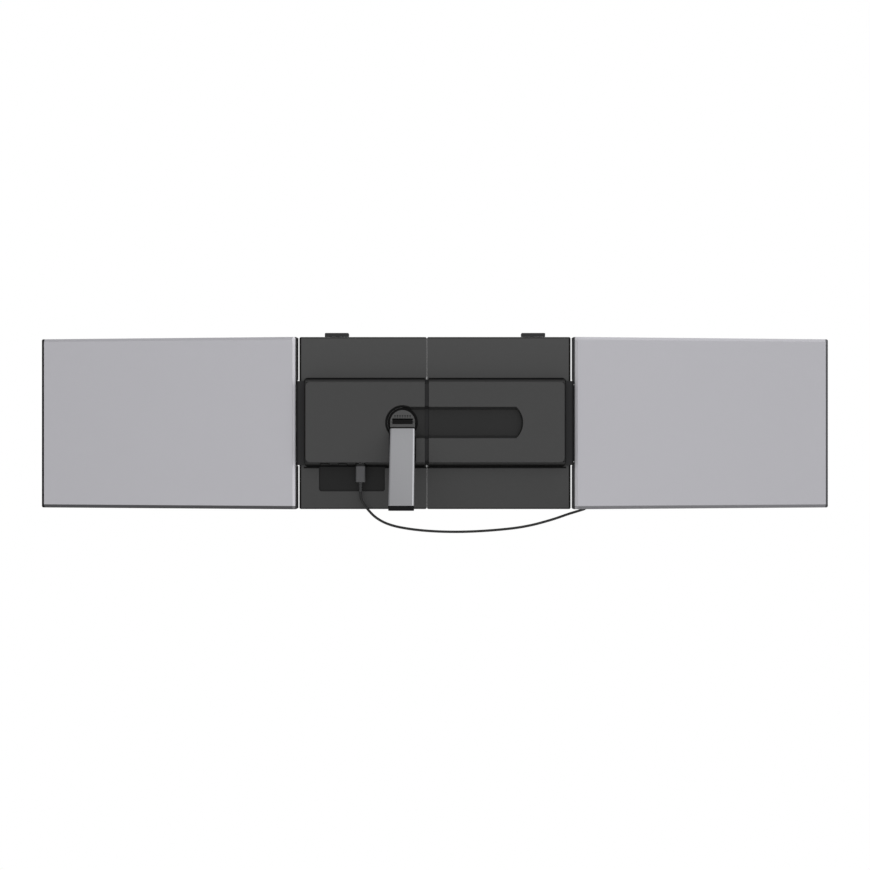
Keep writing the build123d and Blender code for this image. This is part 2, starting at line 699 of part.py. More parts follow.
def leg_core():
    """Dark inner leg: barrel, neck, collar and the beam below the cover."""
    half_barrel = BARREL_LENGTH / 2
    half = LEG_THICKNESS / 2
    core = crossbar(TILT_AXIS_Y, TILT_AXIS_Z, BARREL_RADIUS, PIVOT_X - half_barrel, PIVOT_X + half_barrel)
    core += leg_block(half_barrel, 0, COLLAR_START + 1, -half, half)
    collar = leg_block(LEG_WIDTH / 2, COLLAR_START, COLLAR_START + COLLAR_LENGTH, -half, half)
    core += chamfer(collar.edges().filter_by(Axis.Z), COLLAR_CHAMFER)
    beam_end = LEG_LENGTH - FOOT_LENGTH
    core += leg_block(LEG_WIDTH / 2 - LEG_COVER_THICKNESS - LEG_GAP, COLLAR_START + COLLAR_LENGTH - 1,
                      beam_end + FOOT_TONGUE, LEG_COVER_THICKNESS + LEG_GAP - half, half)
    core -= crossbar(TILT_AXIS_Y, TILT_AXIS_Z, TILT_PIN_RADIUS + PIN_GAP, PIVOT_X - LEG_WIDTH,
                     PIVOT_X + LEG_WIDTH)
    return tilted(core)


def leg_cover():
    """Silver shell over the leg's rear and sides, with a wide bevel round its rear face."""
    half = LEG_THICKNESS / 2
    start = COLLAR_START + COLLAR_LENGTH + LEG_GAP
    end = LEG_LENGTH - FOOT_LENGTH
    bevel_y = TILT_AXIS_Y - half
    z0, z1 = TILT_AXIS_Z - end, TILT_AXIS_Z - start
    x0, x1 = PIVOT_X - LEG_WIDTH / 2, PIVOT_X + LEG_WIDTH / 2
    foot_print = rounded(x0, x1, z0, z1, LEG_COVER_CORNER)
    face = rounded(x0 + LEG_BEVEL, x1 - LEG_BEVEL, z0 + LEG_BEVEL, z1 - LEG_BEVEL, LEG_COVER_CORNER)
    step = bevel_y + LEG_BEVEL_DEPTH
    shell = slab(foot_print, TILT_AXIS_Y + half - LEG_COVER_SETBACK, step)
    shell += drafted(foot_print, step, face, bevel_y)
    shell -= leg_block(LEG_WIDTH / 2 - LEG_COVER_THICKNESS, start - 1, end + 1, LEG_COVER_THICKNESS - half,
                       half + 1)
    return tilted(shell)


def leg_foot():
    """Rubber foot pushed on the beam's end."""
    half = LEG_THICKNESS / 2
    start = LEG_LENGTH - FOOT_LENGTH + LEG_GAP
    foot = leg_block(LEG_WIDTH / 2, start, LEG_LENGTH, -half, half)
    foot = fillet(foot.edges().filter_by(Axis.Y), FOOT_CORNER)
    tongue = leg_block(LEG_WIDTH / 2 - LEG_COVER_THICKNESS - LEG_GAP, start - 1, start + FOOT_TONGUE,
                       LEG_COVER_THICKNESS + LEG_GAP - half, half + 1)
    return tilted(foot - tongue)


# ---------------------------------------------------------------- ports and lead

def board_front():
    """Level of the hub board's seat on its bosses."""
    return PORT_Y + SHELL_THICKNESS / 2 + SOCKET_GAP + SOCKET_WALL


def hub_board():
    """Circuit board that the sockets are soldered to."""
    x0, x1 = BOARD_X
    z0, z1 = BOARD_Z
    rear = board_front()
    board = slab(rounded(x0, x1, z0, z1, BOARD_CORNER), rear + BOARD_THICKNESS, rear)
    for step in (-1, 1):
        chip = Pos((x0 + x1 + step * CHIP_PITCH) / 2, (z0 + z1) / 2) * Rectangle(CHIP_SIZE, CHIP_SIZE)
        board += slab(chip, rear, rear - CHIP_HEIGHT)
    for x, z in board_holes():
        board -= post(x, z, BOSS_RADIUS + SOCKET_GAP, rear + BOARD_THICKNESS, rear)
    return board


def usb_socket(x):
    """One socket: steel shell with a contact tongue."""
    gap = SOCKET_GAP
    inner = RectangleRounded(SHELL_WIDTH + 2 * gap, SHELL_THICKNESS + 2 * gap, 1.2)
    grown = gap + SOCKET_WALL
    outer = RectangleRounded(SHELL_WIDTH + 2 * grown, SHELL_THICKNESS + 2 * grown, 1.6)
    shell = extrude(outer, amount=SOCKET_LENGTH)
    shell -= extrude(inner, amount=SOCKET_LENGTH - SOCKET_BACK)
    tongue = Rectangle(TONGUE_WIDTH, TONGUE_THICKNESS)
    shell += Pos(0, 0, TONGUE_INSET) * extrude(tongue, amount=SOCKET_LENGTH - TONGUE_INSET)
    return Pos(x, PORT_Y, SOCKET_FACE) * shell


def usb_c_sockets():
    """All sockets of the hub."""
    return group([usb_socket(x) for x in PORT_XS])


def usb_plug_body():
    """Moulded body of the lead's plug."""
    outline = RectangleRounded(PLUG_WIDTH, PLUG_THICKNESS, PLUG_CORNER)
    body = extrude(outline, amount=PLUG_TOP - PLUG_BOTTOM)
    body = chamfer(body.faces().sort_by(Axis.Z)[0].edges(), PLUG_CHAMFER)
    return Pos(PORT_XS[0], PORT_Y, PLUG_BOTTOM) * body


def usb_plug_shell():
    """Steel mouth of the plug, inside the first socket."""
    outer = RectangleRounded(SHELL_WIDTH, SHELL_THICKNESS, 1.1)
    inner = RectangleRounded(SHELL_WIDTH - 2 * SHELL_WALL, SHELL_THICKNESS - 2 * SHELL_WALL, 0.8)
    mouth = extrude(outer, amount=SHELL_LENGTH) - Pos(0, 0, SHELL_WALL) * extrude(inner, amount=SHELL_LENGTH)
    return Pos(PORT_XS[0], PORT_Y, PLUG_TOP) * mouth


def lead_boot():
    """Strain relief below the plug's body, tapered, with three grooves."""
    x = PORT_XS[0]
    taper = Cone(BOOT_RADIUS - BOOT_TAPER, BOOT_RADIUS + BOOT_TAPER, BOOT_LENGTH)
    boot = Pos(x, PORT_Y, PLUG_BOTTOM - BOOT_LENGTH / 2) * taper
    for step in range(BOOT_GROOVES):
        top = PLUG_BOTTOM - BOOT_GROOVE_START - BOOT_GROOVE_PITCH * step
        bottom = top - BOOT_GROOVE_WIDTH
        core = upright(x, PORT_Y, BOOT_RADIUS - BOOT_GROOVE_DEPTH, bottom, top)
        boot -= upright(x, PORT_Y, 2 * BOOT_RADIUS, bottom, top) - core
    return boot


def lead_points():
    """Route of the lead: its first points hang from the boot, its last ones lead to the gland."""
    boot_end = Vector(PORT_XS[0], PORT_Y, PLUG_BOTTOM - BOOT_LENGTH)
    lip = turned("right", lead_gland()).center()
    gland_end = Vector(lip.X, lip.Y, PANEL_BOTTOM - GLAND_LIP)
    return [boot_end + Vector(*step) for step in LEAD_FROM_BOOT] + [
        gland_end + Vector(*step) for step in LEAD_TO_GLAND]


def lead_radii(points):
    """Bend radius at each inner point of the lead's route."""
    radii = []
    for before, at, after in zip(points, points[1:], points[2:]):
        one = at - before
        two = after - at
        half_turn = radians(one.get_angle(two) / 2)
        radii.append(LEAD_BEND_SHARE * min(one.length, two.length) / tan(half_turn))
    return radii


def link_lead():
    """The lead itself, hanging from its boot to the right screen's lower edge."""
    points = lead_points()
    radii = lead_radii(points)
    path = FilletPolyline(*points, radius=radii)
    start = Plane(origin=path @ 0, z_dir=path % 0)
    tube = sweep(start * Circle(LEAD_RADIUS), path=path)
    print("lead length", round(path.length, 1), "radii", [round(r, 1) for r in radii])
    print("lead volume", round(tube.volume, 1), "expected", round(path.length * pi * LEAD_RADIUS ** 2, 1))
    return tube


def lead_gland():
    """Rubber gland in the right screen's lower edge, where the lead goes in."""
    x = panel_edge("right") + GLAND_REACH
    bottom = PANEL_BOTTOM
    gland = upright(x, EDGE_MIDDLE_Y, GLAND_RADIUS, bottom, bottom + BEZEL_WALL)
    return gland + upright(x, EDGE_MIDDLE_Y, GLAND_RADIUS + GLAND_LIP, bottom - GLAND_LIP, bottom)


# ---------------------------------------------------------------- screens

def panel_edge(side):
    """Inner edge of a flat screen, on the right-hand side."""
    return HINGE_X + HINGE_SIDES[side][1]


def panel_outline(side, inset, radius, margin=0.0):
    """Screen outline in X and Z, made smaller by an inset and, at the hinge, by a margin too."""
    x0 = panel_edge(side) + inset + margin
    x1 = panel_edge(side) + PANEL_WIDTH - inset
    half = PANEL_HEIGHT / 2 - inset
    return rounded(x0, x1, -half, half, radius)


def rear_cover(side):
    """Silver back of a screen: tray with a bevelled rear edge and bosses for the hinge leaf."""
    bevel_front = PANEL_REAR_Y + PANEL_BEVEL_DEPTH
    spine = SPINE_WIDTH
    outline = panel_outline(side, 0, PANEL_CORNER, spine)
    back = panel_outline(side, PANEL_BEVEL, PANEL_CORNER, spine)
    cover = slab(outline, RIM_SPLIT_Y, bevel_front) + drafted(outline, bevel_front, back, PANEL_REAR_Y)
    room = panel_outline(side, PANEL_SIDE_WALL, PANEL_CORNER - 1, spine)
    deep = panel_outline(side, PANEL_BEVEL + PANEL_SIDE_WALL, PANEL_CORNER - 1, spine)
    floor = PANEL_REAR_Y + PANEL_WALL
    cover -= slab(room, RIM_SPLIT_Y, bevel_front) + drafted(room, bevel_front, deep, floor)
    x = leaf_screw_x()
    for z in LEAF_SCREW_ZS:
        cover += post(x, z, BOSS_RADIUS, LEAF_SEAT_Y, floor - 0.4)
        cover -= post(x, z, SCREW_RADIUS + SCREW_GAP, LEAF_SEAT_Y, floor + 0.6)
    return cover


def leaf_screw_x():
    """Centre line of the leaf's screws."""
    return HINGE_X + LEAF_REACH - LEAF_SCREW_INSET


def mid_frame(side):
    """Dark bezel frame that carries the glass, notched for the hinge and pierced for the keys."""
    frame = slab(panel_outline(side, 0, PANEL_CORNER), PANEL_FRONT_Y, RIM_SPLIT_Y)
    seat = panel_outline(side, GLASS_INSET, PANEL_CORNER / 2, HINGE_MARGIN)
    opening = panel_outline(side, BEZEL_WALL, PANEL_CORNER / 2, HINGE_MARGIN)
    frame -= slab(seat, PANEL_FRONT_Y, GLASS_REAR_Y) + slab(opening, GLASS_REAR_Y, RIM_SPLIT_Y)
    notch = HINGE_X + KNUCKLE_RADIUS + 0.4
    half = HINGE_HALF + 0.6
    frame -= block(HINGE_X - 1, notch, RIM_SPLIT_Y, PANEL_FRONT_Y, -half, half)
    slot = leaf_half() + LEAF_GAP
    frame -= block(notch - 1, panel_edge(side) + BEZEL_WALL + HINGE_MARGIN + 1, LEAF_SEAT_Y,
                   LEAF_SEAT_Y + LEAF_THICKNESS + 0.1, -slot, slot)
    for z in KEY_ZS.values():
        frame -= key_form(side, z, KEY_GAP, 0)
    if side == "right":
        frame -= lead_gland()
    return frame


def front_glass(side):
    """Cover glass of a screen."""
    outline = panel_outline(side, GLASS_INSET + GLASS_GAP, PANEL_CORNER / 2, HINGE_MARGIN)
    front = PANEL_FRONT_Y - GLASS_DROP
    return slab(outline, front, front - GLASS_THICKNESS)


def lcd_module(side):
    """Display with its backlight, bonded behind the glass."""
    x = panel_edge(side) + PANEL_WIDTH / 2
    outline = Pos(x, 0) * Rectangle(LCD_WIDTH, LCD_HEIGHT)
    return slab(outline, GLASS_REAR_Y, GLASS_REAR_Y - LCD_THICKNESS)


def driver_board(side):
    """Display driver board on the rear cover's floor."""
    x = panel_edge(side) + PANEL_WIDTH / 2
    width, height = DRIVER_BOARD_SIZE
    floor = PANEL_REAR_Y + PANEL_WALL
    front = floor + BOARD_THICKNESS
    board = slab(Pos(x, DRIVER_BOARD_Z) * RectangleRounded(width, height, BOARD_CORNER), front, floor)
    for step in (-1, 0, 1):
        chip = Pos(x + step * DRIVER_CHIP_PITCH, DRIVER_BOARD_Z) * Rectangle(CHIP_SIZE, CHIP_SIZE)
        board += slab(chip, front + DRIVER_CHIP_HEIGHT, front)
    return board


def key_form(side, z, grow, lip):
    """Key's stem through the frame's outer wall, or its hole, with a lip behind the wall."""
    outer = panel_edge(side) + PANEL_WIDTH
    y = EDGE_MIDDLE_Y
    half_y = KEY_WIDTH / 2 + grow
    half_z = KEY_LENGTH / 2 + grow
    inner = outer - BEZEL_WALL - 0.8
    stem = block(inner, outer + KEY_PROUD, y - half_y, y + half_y, z - half_z, z + half_z)
    if lip:
        stem += block(inner - 0.4, inner + 0.5, y - half_y, y + half_y, z - half_z - lip, z + half_z + lip)
    return stem


def knuckle_spans():
    """Heights of the hinge's knuckles, from the lowest up."""
    pitch = 2 * HINGE_HALF / KNUCKLE_COUNT
    low = -HINGE_HALF
    return [(low + pitch * i + KNUCKLE_GAP / 2, low + pitch * (i + 1) - KNUCKLE_GAP / 2)
            for i in range(KNUCKLE_COUNT)]


def leaf_half():
    """Half height of the hinge leaf's plate."""
    return HINGE_HALF - 2.0


def hinge_leaf(side):
    """Steel leaf in the screen: flat plate with knuckles that stand on its edge."""
    axis_y = HINGE_SIDES[side][0]
    leaf_front = LEAF_SEAT_Y + LEAF_THICKNESS
    clear = HINGE_X + KNUCKLE_RADIUS + 0.8
    leaf = block(clear, HINGE_X + LEAF_REACH, LEAF_SEAT_Y, leaf_front, -leaf_half(), leaf_half())
    for z0, z1 in knuckle_spans()[1::2]:
        leaf += upright(HINGE_X, axis_y, KNUCKLE_RADIUS, z0, z1)
        leaf += block(HINGE_X + 1.0, HINGE_X + KNUCKLE_RADIUS, LEAF_SEAT_Y, axis_y, z0, z1)
        leaf += block(HINGE_X + 1.0, clear + 1, LEAF_SEAT_Y, leaf_front, z0, z1)
    leaf -= upright(HINGE_X, axis_y, PIN_RADIUS + PIN_GAP, -HINGE_HALF, HINGE_HALF)
    x = leaf_screw_x()
    for z in LEAF_SCREW_ZS:
        leaf -= post(x, z, SCREW_RADIUS + SCREW_GAP, leaf_front, LEAF_SEAT_Y)
        leaf -= post(x, z, SCREW_HEAD_RADIUS + SCREW_GAP, leaf_front, leaf_front - SCREW_HEAD_HEIGHT)
    return leaf


def leaf_screws(side):
    """Countersunk screws of the hinge leaf."""
    head = LEAF_SEAT_Y + LEAF_THICKNESS
    return group([screw(leaf_screw_x(), z, head, LEAF_SCREW_LENGTH) for z in LEAF_SCREW_ZS])


def turned(side, shape):
    """Turn a flat screen's piece about its hinge to the rest pose, on its own side."""
    axis_y = HINGE_SIDES[side][0]
    shape = shape.rotate(Axis((HINGE_X, axis_y, 0), (0, 0, 1)), TOE_ANGLE)
    return to_left(shape) if side == "left" else shape


# ---------------------------------------------------------------- hinges on the frame

def hinge_bracket(side):
    """Steel angle on the plate's edge with the hinge's fixed knuckles."""
    axis_y = HINGE_SIDES[side][0]
    web_in = FRAME_EDGE + WEB_INNER_GAP
    web_out = HINGE_X - WEB_OUTER_GAP
    rear = PLATE_REAR - BRACKET_THICKNESS
    screw_x = hinge_screw_x("right")
    half = HINGE_HALF
    bracket = block(FRAME_EDGE - FLANGE_WIDTH, web_out, rear, PLATE_REAR, -half, half)
    bracket += block(web_in, web_out, rear, BAND_FRONT_Y, -half, half)
    for z0, z1 in knuckle_spans()[0::2]:
        bracket += upright(HINGE_X, axis_y, KNUCKLE_RADIUS, z0, z1)
        bracket += block(web_in, web_out, rear, axis_y, z0, z1)
    bracket -= upright(HINGE_X, axis_y, PIN_RADIUS + PIN_GAP, -half, half)
    for z in BRACKET_SCREW_ZS:
        bracket -= post(screw_x, z, SCREW_RADIUS + SCREW_GAP, PLATE_REAR, rear)
        bracket -= post(screw_x, z, SCREW_HEAD_RADIUS + SCREW_GAP, rear + SCREW_HEAD_HEIGHT, rear)
    return bracket


def hinge_pin(side):
    """Hinge pin with a small head."""
    axis_y = HINGE_SIDES[side][0]
    pin = upright(HINGE_X, axis_y, PIN_RADIUS, -HINGE_HALF - 0.6, HINGE_HALF + 0.2)
    return pin + upright(HINGE_X, axis_y, PIN_RADIUS + 0.6, HINGE_HALF - KNUCKLE_GAP / 2 + 0.02, HINGE_HALF + 0.5)


def hinge_screws(side):
    """Screws of the bracket, with their heads sunk in its rear."""
    rear = PLATE_REAR - BRACKET_THICKNESS
    x = hinge_screw_x("right")
    screws = []
    for z in BRACKET_SCREW_ZS:
        head = post(x, z, SCREW_HEAD_RADIUS, rear + SCREW_HEAD_HEIGHT, rear)
        screws.append(head + post(x, z, SCREW_RADIUS, TRAY_FLOOR + PLATE_WALL - 0.2, rear))
    return screws


def hinge_cover():
    """Dark band over the bracket: low box with a rounded outer edge and a pocket for the steel."""
    rear = PLATE_REAR - BAND_DEPTH
    band = block(BAND_INNER_X, BAND_OUTER_X, rear, PLATE_REAR, -BAND_HALF, BAND_HALF)
    band += block(HINGE_X - WEB_OUTER_GAP + 0.2, BAND_OUTER_X, rear, BAND_FRONT_Y, -BAND_HALF, BAND_HALF)
    rounded_edges = [edge for edge in band.edges().filter_by(Axis.Z)
                     if edge.center().X > BAND_OUTER_X - 0.1 and edge.center().Y < rear + 0.1]
    band = fillet(rounded_edges, BAND_ROUNDING)
    half = HINGE_HALF + 0.3
    band -= block(FRAME_EDGE - FLANGE_WIDTH - 0.2, HINGE_X - WEB_OUTER_GAP + 0.2, rear + BAND_WALL,
                  PLATE_REAR + 10, -half, half)
    return band - housing_form(-0.1)


# ---------------------------------------------------------------- clips

def clip_hook():
    """Hook over the lid: rear wall above the plate, web and a short lip in front of the lid."""
    top = PLATE_TOP + CLIP_RISE
    web = top - CLIP_WEB
    bottom = PLATE_TOP + CLIP_GAP
    lip_front = CLIP_THROAT + CLIP_LIP
    half = CLIP_WIDTH / 2
    hook = block(CLIP_X - half, CLIP_X + half, CLIP_REAR_Y, PLATE_FRONT, bottom, top)
    hook += block(CLIP_X - half, CLIP_X + half, PLATE_FRONT - 1, lip_front, web, top)
    hook += block(CLIP_X - half, CLIP_X + half, CLIP_THROAT, lip_front, web - CLIP_OVERLAP, top)
    corners = [edge for edge in hook.edges().filter_by(Axis.Y) if edge.center().Z > top - 0.1]
    hook = fillet(corners, CLIP_CORNER)
    ends = [edge for edge in hook.edges().filter_by(Axis.X) if edge.center().Z > top - 0.1]
    hook = fillet(ends, CLIP_ROUNDING)
    return hook - arm_form(SHEET_GAP / 2)


def arm_form(grow=0.0):
    """Steel strip of a clip, from inside the tray up into the hook."""
    half = ARM_WIDTH / 2 + grow
    front = SHEET_REAR - ARM_GAP + grow
    top = PLATE_TOP + CLIP_RISE - CLIP_WEB + grow
    return block(CLIP_X - half, CLIP_X + half, front - ARM_THICKNESS - 2 * grow, front,
                 PLATE_TOP - ARM_LENGTH, top)


def clip_pad():
    """Thin rubber under the hook's web."""
    half = CLIP_WIDTH / 2 - 2
    web = PLATE_TOP + CLIP_RISE - CLIP_WEB
    return block(CLIP_X - half, CLIP_X + half, 0.5, CLIP_THROAT - 0.3, web - CLIP_PAD, web)


# ---------------------------------------------------------------- assembly

def save_frame_half(side, shell):
    """Pieces of one half of the centre frame."""
    save(side + "_back_plate", back_plate(side))
    save(side + "_front_plate", front_plate(side))
    save(side + "_plate_screws", plate_screws(side))
    save(side + "_lid_pads", lid_pads(side))
    save(side + "_housing_cover", housing_cover(side, shell))


def save_on_side(side, name, shape):
    """Write a piece drawn on the right, mirrored where it belongs to the left."""
    save(side + "_" + name, to_left(shape) if side == "left" else shape)


def save_hinge(side):
    """Pieces of one screen hinge that stay on the frame."""
    save_on_side(side, "hinge_bracket", hinge_bracket(side))
    save_on_side(side, "hinge_pin", hinge_pin(side))
    save_on_side(side, "hinge_cover", hinge_cover())
    save_on_side(side, "hinge_screws", group(hinge_screws(side)))


def save_clip(side):
    """Pieces of one clip."""
    save_on_side(side, "clip_hook", clip_hook())
    save_on_side(side, "clip_arm", arm_form())
    save_on_side(side, "clip_pad", clip_pad())


def save_screen(side):
    """Pieces of one screen, with its keys."""
    save(side + "_rear_cover", turned(side, rear_cover(side)))
    save(side + "_mid_frame", turned(side, mid_frame(side)))
    save(side + "_front_glass", turned(side, front_glass(side)))
    save(side + "_lcd_module", turned(side, lcd_module(side)))
    save(side + "_driver_board", turned(side, driver_board(side)))
    save(side + "_hinge_leaf", turned(side, hinge_leaf(side)))
    save(side + "_leaf_screws", turned(side, leaf_screws(side)))
    for name, z in KEY_ZS.items():
        save(side + "_" + name, turned(side, key_form(side, z, 0, KEY_LIP)))


def save_kickstand():
    """Pieces of the kickstand."""
    save("swivel_base", swivel_base())
    save("swivel_washer", swivel_washer())
    save("swivel_screw", swivel_screw())
    save("tilt_pin", tilt_pin())
    save("leg_core", leg_core())
    save("leg_cover", leg_cover())
    save("leg_foot", leg_foot())


def main():
    """Write every piece of the extender."""
    os.makedirs("parts", exist_ok=True)
    shell = housing_shell(0, HOUSING_WALL)
    for side in HINGE_SIDES:
        save_frame_half(side, shell)
        save_hinge(side)
        save_clip(side)
        save_screen(side)
    save("slide_sleeve", slide_sleeve())
    save("guide_rails", guide_rails())
    save("rail_mounts", rail_mounts())
    save("rail_carriages", rail_carriages())
    save("hub_board", hub_board())
    save("usb_c_sockets", usb_c_sockets())
    save("usb_plug_body", usb_plug_body())
    save("usb_plug_shell", usb_plug_shell())
    save("lead_boot", lead_boot())
    save("link_lead", link_lead())
    save("lead_gland", turned("right", lead_gland()))
    save_kickstand()


main()
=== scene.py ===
"""Looks of a laptop screen extender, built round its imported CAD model.

It is laid out as an add-on and run as a script: main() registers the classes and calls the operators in
order. Every length is in metres, in the CAD's own frame: +Z up, the
kickstand and the camera at -Y, the lid and the user at +Y, -X the left half.
"""
import json
import math

import bmesh
import bpy
import numpy as np
from bpy.props import FloatProperty, FloatVectorProperty, PointerProperty
from bpy.types import Operator, Panel, PropertyGroup
from mathutils import Euler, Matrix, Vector

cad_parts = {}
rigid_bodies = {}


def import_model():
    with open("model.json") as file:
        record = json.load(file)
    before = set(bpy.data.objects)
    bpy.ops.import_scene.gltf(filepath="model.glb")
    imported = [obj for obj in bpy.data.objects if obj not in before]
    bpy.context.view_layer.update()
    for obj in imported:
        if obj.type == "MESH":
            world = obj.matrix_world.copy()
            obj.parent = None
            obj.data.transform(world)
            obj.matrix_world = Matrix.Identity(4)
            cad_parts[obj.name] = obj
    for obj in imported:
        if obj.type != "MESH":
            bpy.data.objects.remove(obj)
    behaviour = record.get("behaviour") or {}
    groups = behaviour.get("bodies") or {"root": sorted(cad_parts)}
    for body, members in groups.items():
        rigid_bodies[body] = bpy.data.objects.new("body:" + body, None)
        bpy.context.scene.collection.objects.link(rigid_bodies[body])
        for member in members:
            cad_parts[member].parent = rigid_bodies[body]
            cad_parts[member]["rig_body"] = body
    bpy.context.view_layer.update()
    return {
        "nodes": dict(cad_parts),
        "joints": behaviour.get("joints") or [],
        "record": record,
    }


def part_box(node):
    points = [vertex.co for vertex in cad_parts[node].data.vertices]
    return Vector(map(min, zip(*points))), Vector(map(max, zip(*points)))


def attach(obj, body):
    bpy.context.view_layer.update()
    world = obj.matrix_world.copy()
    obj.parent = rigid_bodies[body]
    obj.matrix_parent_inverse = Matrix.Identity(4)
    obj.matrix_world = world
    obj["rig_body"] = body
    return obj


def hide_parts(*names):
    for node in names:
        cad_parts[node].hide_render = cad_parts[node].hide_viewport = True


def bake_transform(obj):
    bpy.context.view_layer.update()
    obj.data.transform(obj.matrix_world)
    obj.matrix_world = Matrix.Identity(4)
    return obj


bl_info = {
    "name": "Laptop screen extender",
    "version": (1, 0, 0),
    "blender": (4, 5, 0),
    "location": "View3D > Sidebar > Extender",
    "description": "Finishes, lead and stage of a laptop screen extender",
    "category": "Object",
}

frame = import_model()
JOINTS = {joint["name"]: joint for joint in frame["joints"]}

MM = 0.001
FAR = 1.0  # past every edge of the object
FINE, CRISP, SOFT = 0.15 * MM, 0.2 * MM, 0.3 * MM  # borders of masks
ORIGIN = (0.0, 0.0, 0.0)
UNTURNED = (0.0, 0.0, 0.0)
UP, DOWN = (0.0, 0.0, 1.0), (0.0, 0.0, -1.0)
SIDES = ("left", "right")
HAND = {"left": -1.0, "right": 1.0}


def both(*names):
    """Names of the nodes that each half has."""
    return [f"{side}_{name}" for side in SIDES for name in names]


def middle_of(node):
    """Middle of a CAD node's box."""
    low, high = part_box(node)
    return (low + high) / 2


def added(name, data):
    """Object made of a mesh or camera, linked into the scene."""
    made = bpy.data.objects.new(name, data)
    bpy.context.scene.collection.objects.link(made)
    return made


def points_of(mesh):
    """A mesh's points as rows."""
    points = np.empty(len(mesh.vertices) * 3)
    mesh.vertices.foreach_get("co", points)
    return points.reshape(-1, 3)


def pivot_of(joint):
    """Place of a joint's axis."""
    return Vector(JOINTS[joint]["pos_m"])


# ---- sizes and colours

def length(name, default, description):
    """A length in metres for a property group."""
    return FloatProperty(name=name, description=description, default=default, min=0.0,
                         precision=5, subtype="DISTANCE", unit="LENGTH")


def angle(name, degrees, description):
    """An angle for a property group."""
    return FloatProperty(name=name, description=description, default=math.radians(degrees),
                         subtype="ANGLE", unit="ROTATION")


def colour(name, default, description):
    """A colour for a property group."""
    return FloatVectorProperty(name=name, description=description, default=default, size=3,
                               min=0.0, max=1.0, subtype="COLOR")


def scaled(tone, factor):
    """A tone made brighter or darker by a factor."""
    return tuple(factor * part for part in tone)


class ExtenderSizes(PropertyGroup):
    """Sizes of the pieces that the scene makes itself."""

    soft_edge: length("Soft edge", 0.25 * MM, "Rounding of the moulded and pressed pieces' edges")
    lead_diameter: length("Lead diameter", 3.0 * MM, "Diameter of the link lead's jacket")
    lead_split: length("Lead split", 147 * MM, "Where along X the lead passes from the frame to the screen")
    toe_angle: angle("Toe angle", 10.0, "Turn of each screen about its hinge at rest")
    leg_tilt: angle("Leg tilt", 43.5, "Turn of the leg about its pin at rest")
    display_width: length("Display width", 301.6 * MM, "Lit width of a screen")
    display_height: length("Display height", 188.5 * MM, "Lit height of a screen")
    pad_rib: length("Pad rib", 0.2 * MM, "Depth of the grooves in the rubber pads")
    camera_distance: length("Camera distance", 2.196, "Distance of the camera behind the front plane")
    camera_drop: length("Camera drop", 0.0143, "Depth of the camera below the frame's middle")
    camera_lens: FloatProperty(name="Lens", description="Focal length in millimetres", default=75.7)
    floor_drop: length("Floor drop", 1.3, "Depth of the studio floor below the frame's middle")
    floor_reach: length("Floor reach", 2.6, "Half width of the studio floor")


class ExtenderColours(PropertyGroup):
    """Base colours of the finishes."""

    silver: colour("Silver", (0.498, 0.493, 0.524), "Anodised backs of the screens")
    plate: colour("Plate", (0.065, 0.065, 0.065), "Painted plates of the frame")
    # painted shade along the plates' ends, top and bottom
    plate_shade: colour("Plate shade", (0.005, 0.005, 0.005), "Shaded rim and grooves of the plates")
    housing: colour("Housing", (0.070, 0.070, 0.070), "Moulded housing")
    recess: colour("Recess", (0.028, 0.028, 0.028), "Housing's recess for the leg")
    band: colour("Band", (0.025, 0.025, 0.026), "Hinge bands, screen frames and small mouldings")
    clip: colour("Clip", (0.037, 0.037, 0.038), "Clips over the lid")
    head: colour("Head", (0.095, 0.095, 0.095), "Kickstand's head and collar")
    # painted shade: black laid in gaps, grooves, pits, on walls and on bevels where shade falls; also the
    # head's dark dots
    shade_and_dots: colour("Hollow", (0.003, 0.003, 0.003), "Deep gaps, dots, grooves and shaded bevels")
    leg: colour("Leg", (0.298, 0.299, 0.311), "Kickstand's leg")
    steel: colour("Steel", (0.55, 0.55, 0.56), "Screws, pins and rails")
    rubber: colour("Rubber", (0.009, 0.009, 0.010), "Foot and pads")
    ink: colour("Ink", (0.003, 0.003, 0.003), "Printed border behind the front glass")
    display: colour("Display", (0.010, 0.011, 0.014), "Unlit display behind the front glass")
    backlight: colour("Backlight", (0.35, 0.35, 0.36), "Metal back of the display")
    board: colour("Board", (0.02, 0.10, 0.05), "Circuit boards")
    # painted shade in the recessed pocket below the ports
    pocket: colour("Pocket", (0.019, 0.019, 0.019), "Pocket below the ports")
    plug: colour("Plug", (0.099, 0.099, 0.103), "Plug's body")
    boot: colour("Boot", (0.060, 0.060, 0.062), "Plug's boot")
    lead: colour("Lead", (0.028, 0.028, 0.028), "Lead's jacket")
    floor: colour("Floor", (0.82, 0.82, 0.82), "Studio floor")


# ---- nodes

def linked(socket, term):
    """Feed a socket with another socket, a number or a vector."""
    if isinstance(term, bpy.types.NodeSocket):
        socket.id_data.links.new(term, socket)
    else:
        socket.default_value = term


def tree_of(*terms):
    """Node tree of the first socket among some terms."""
    return next(term.id_data for term in terms if isinstance(term, bpy.types.NodeSocket))


def maths(operation, *terms, clamp=False):
    """Math node with sockets or numbers as its terms."""
    node = tree_of(*terms).nodes.new("ShaderNodeMath")
    node.operation = operation
    node.use_clamp = clamp
    for socket, term in zip(node.inputs, terms):
        linked(socket, term)
    return node.outputs[0]


def vectors(operation, *terms):
    """Vector Math node; the result is its value for a dot product or a length, else its vector."""
    node = tree_of(*terms).nodes.new("ShaderNodeVectorMath")
    node.operation = operation
    for socket, term in zip(node.inputs, terms):
        linked(socket, term)
    return node.outputs["Value" if operation in {"DOT_PRODUCT", "LENGTH"} else "Vector"]


def split(vector):
    """The three parts of a vector."""
    node = vector.id_data.nodes.new("ShaderNodeSeparateXYZ")
    linked(node.inputs[0], vector)
    return node.outputs


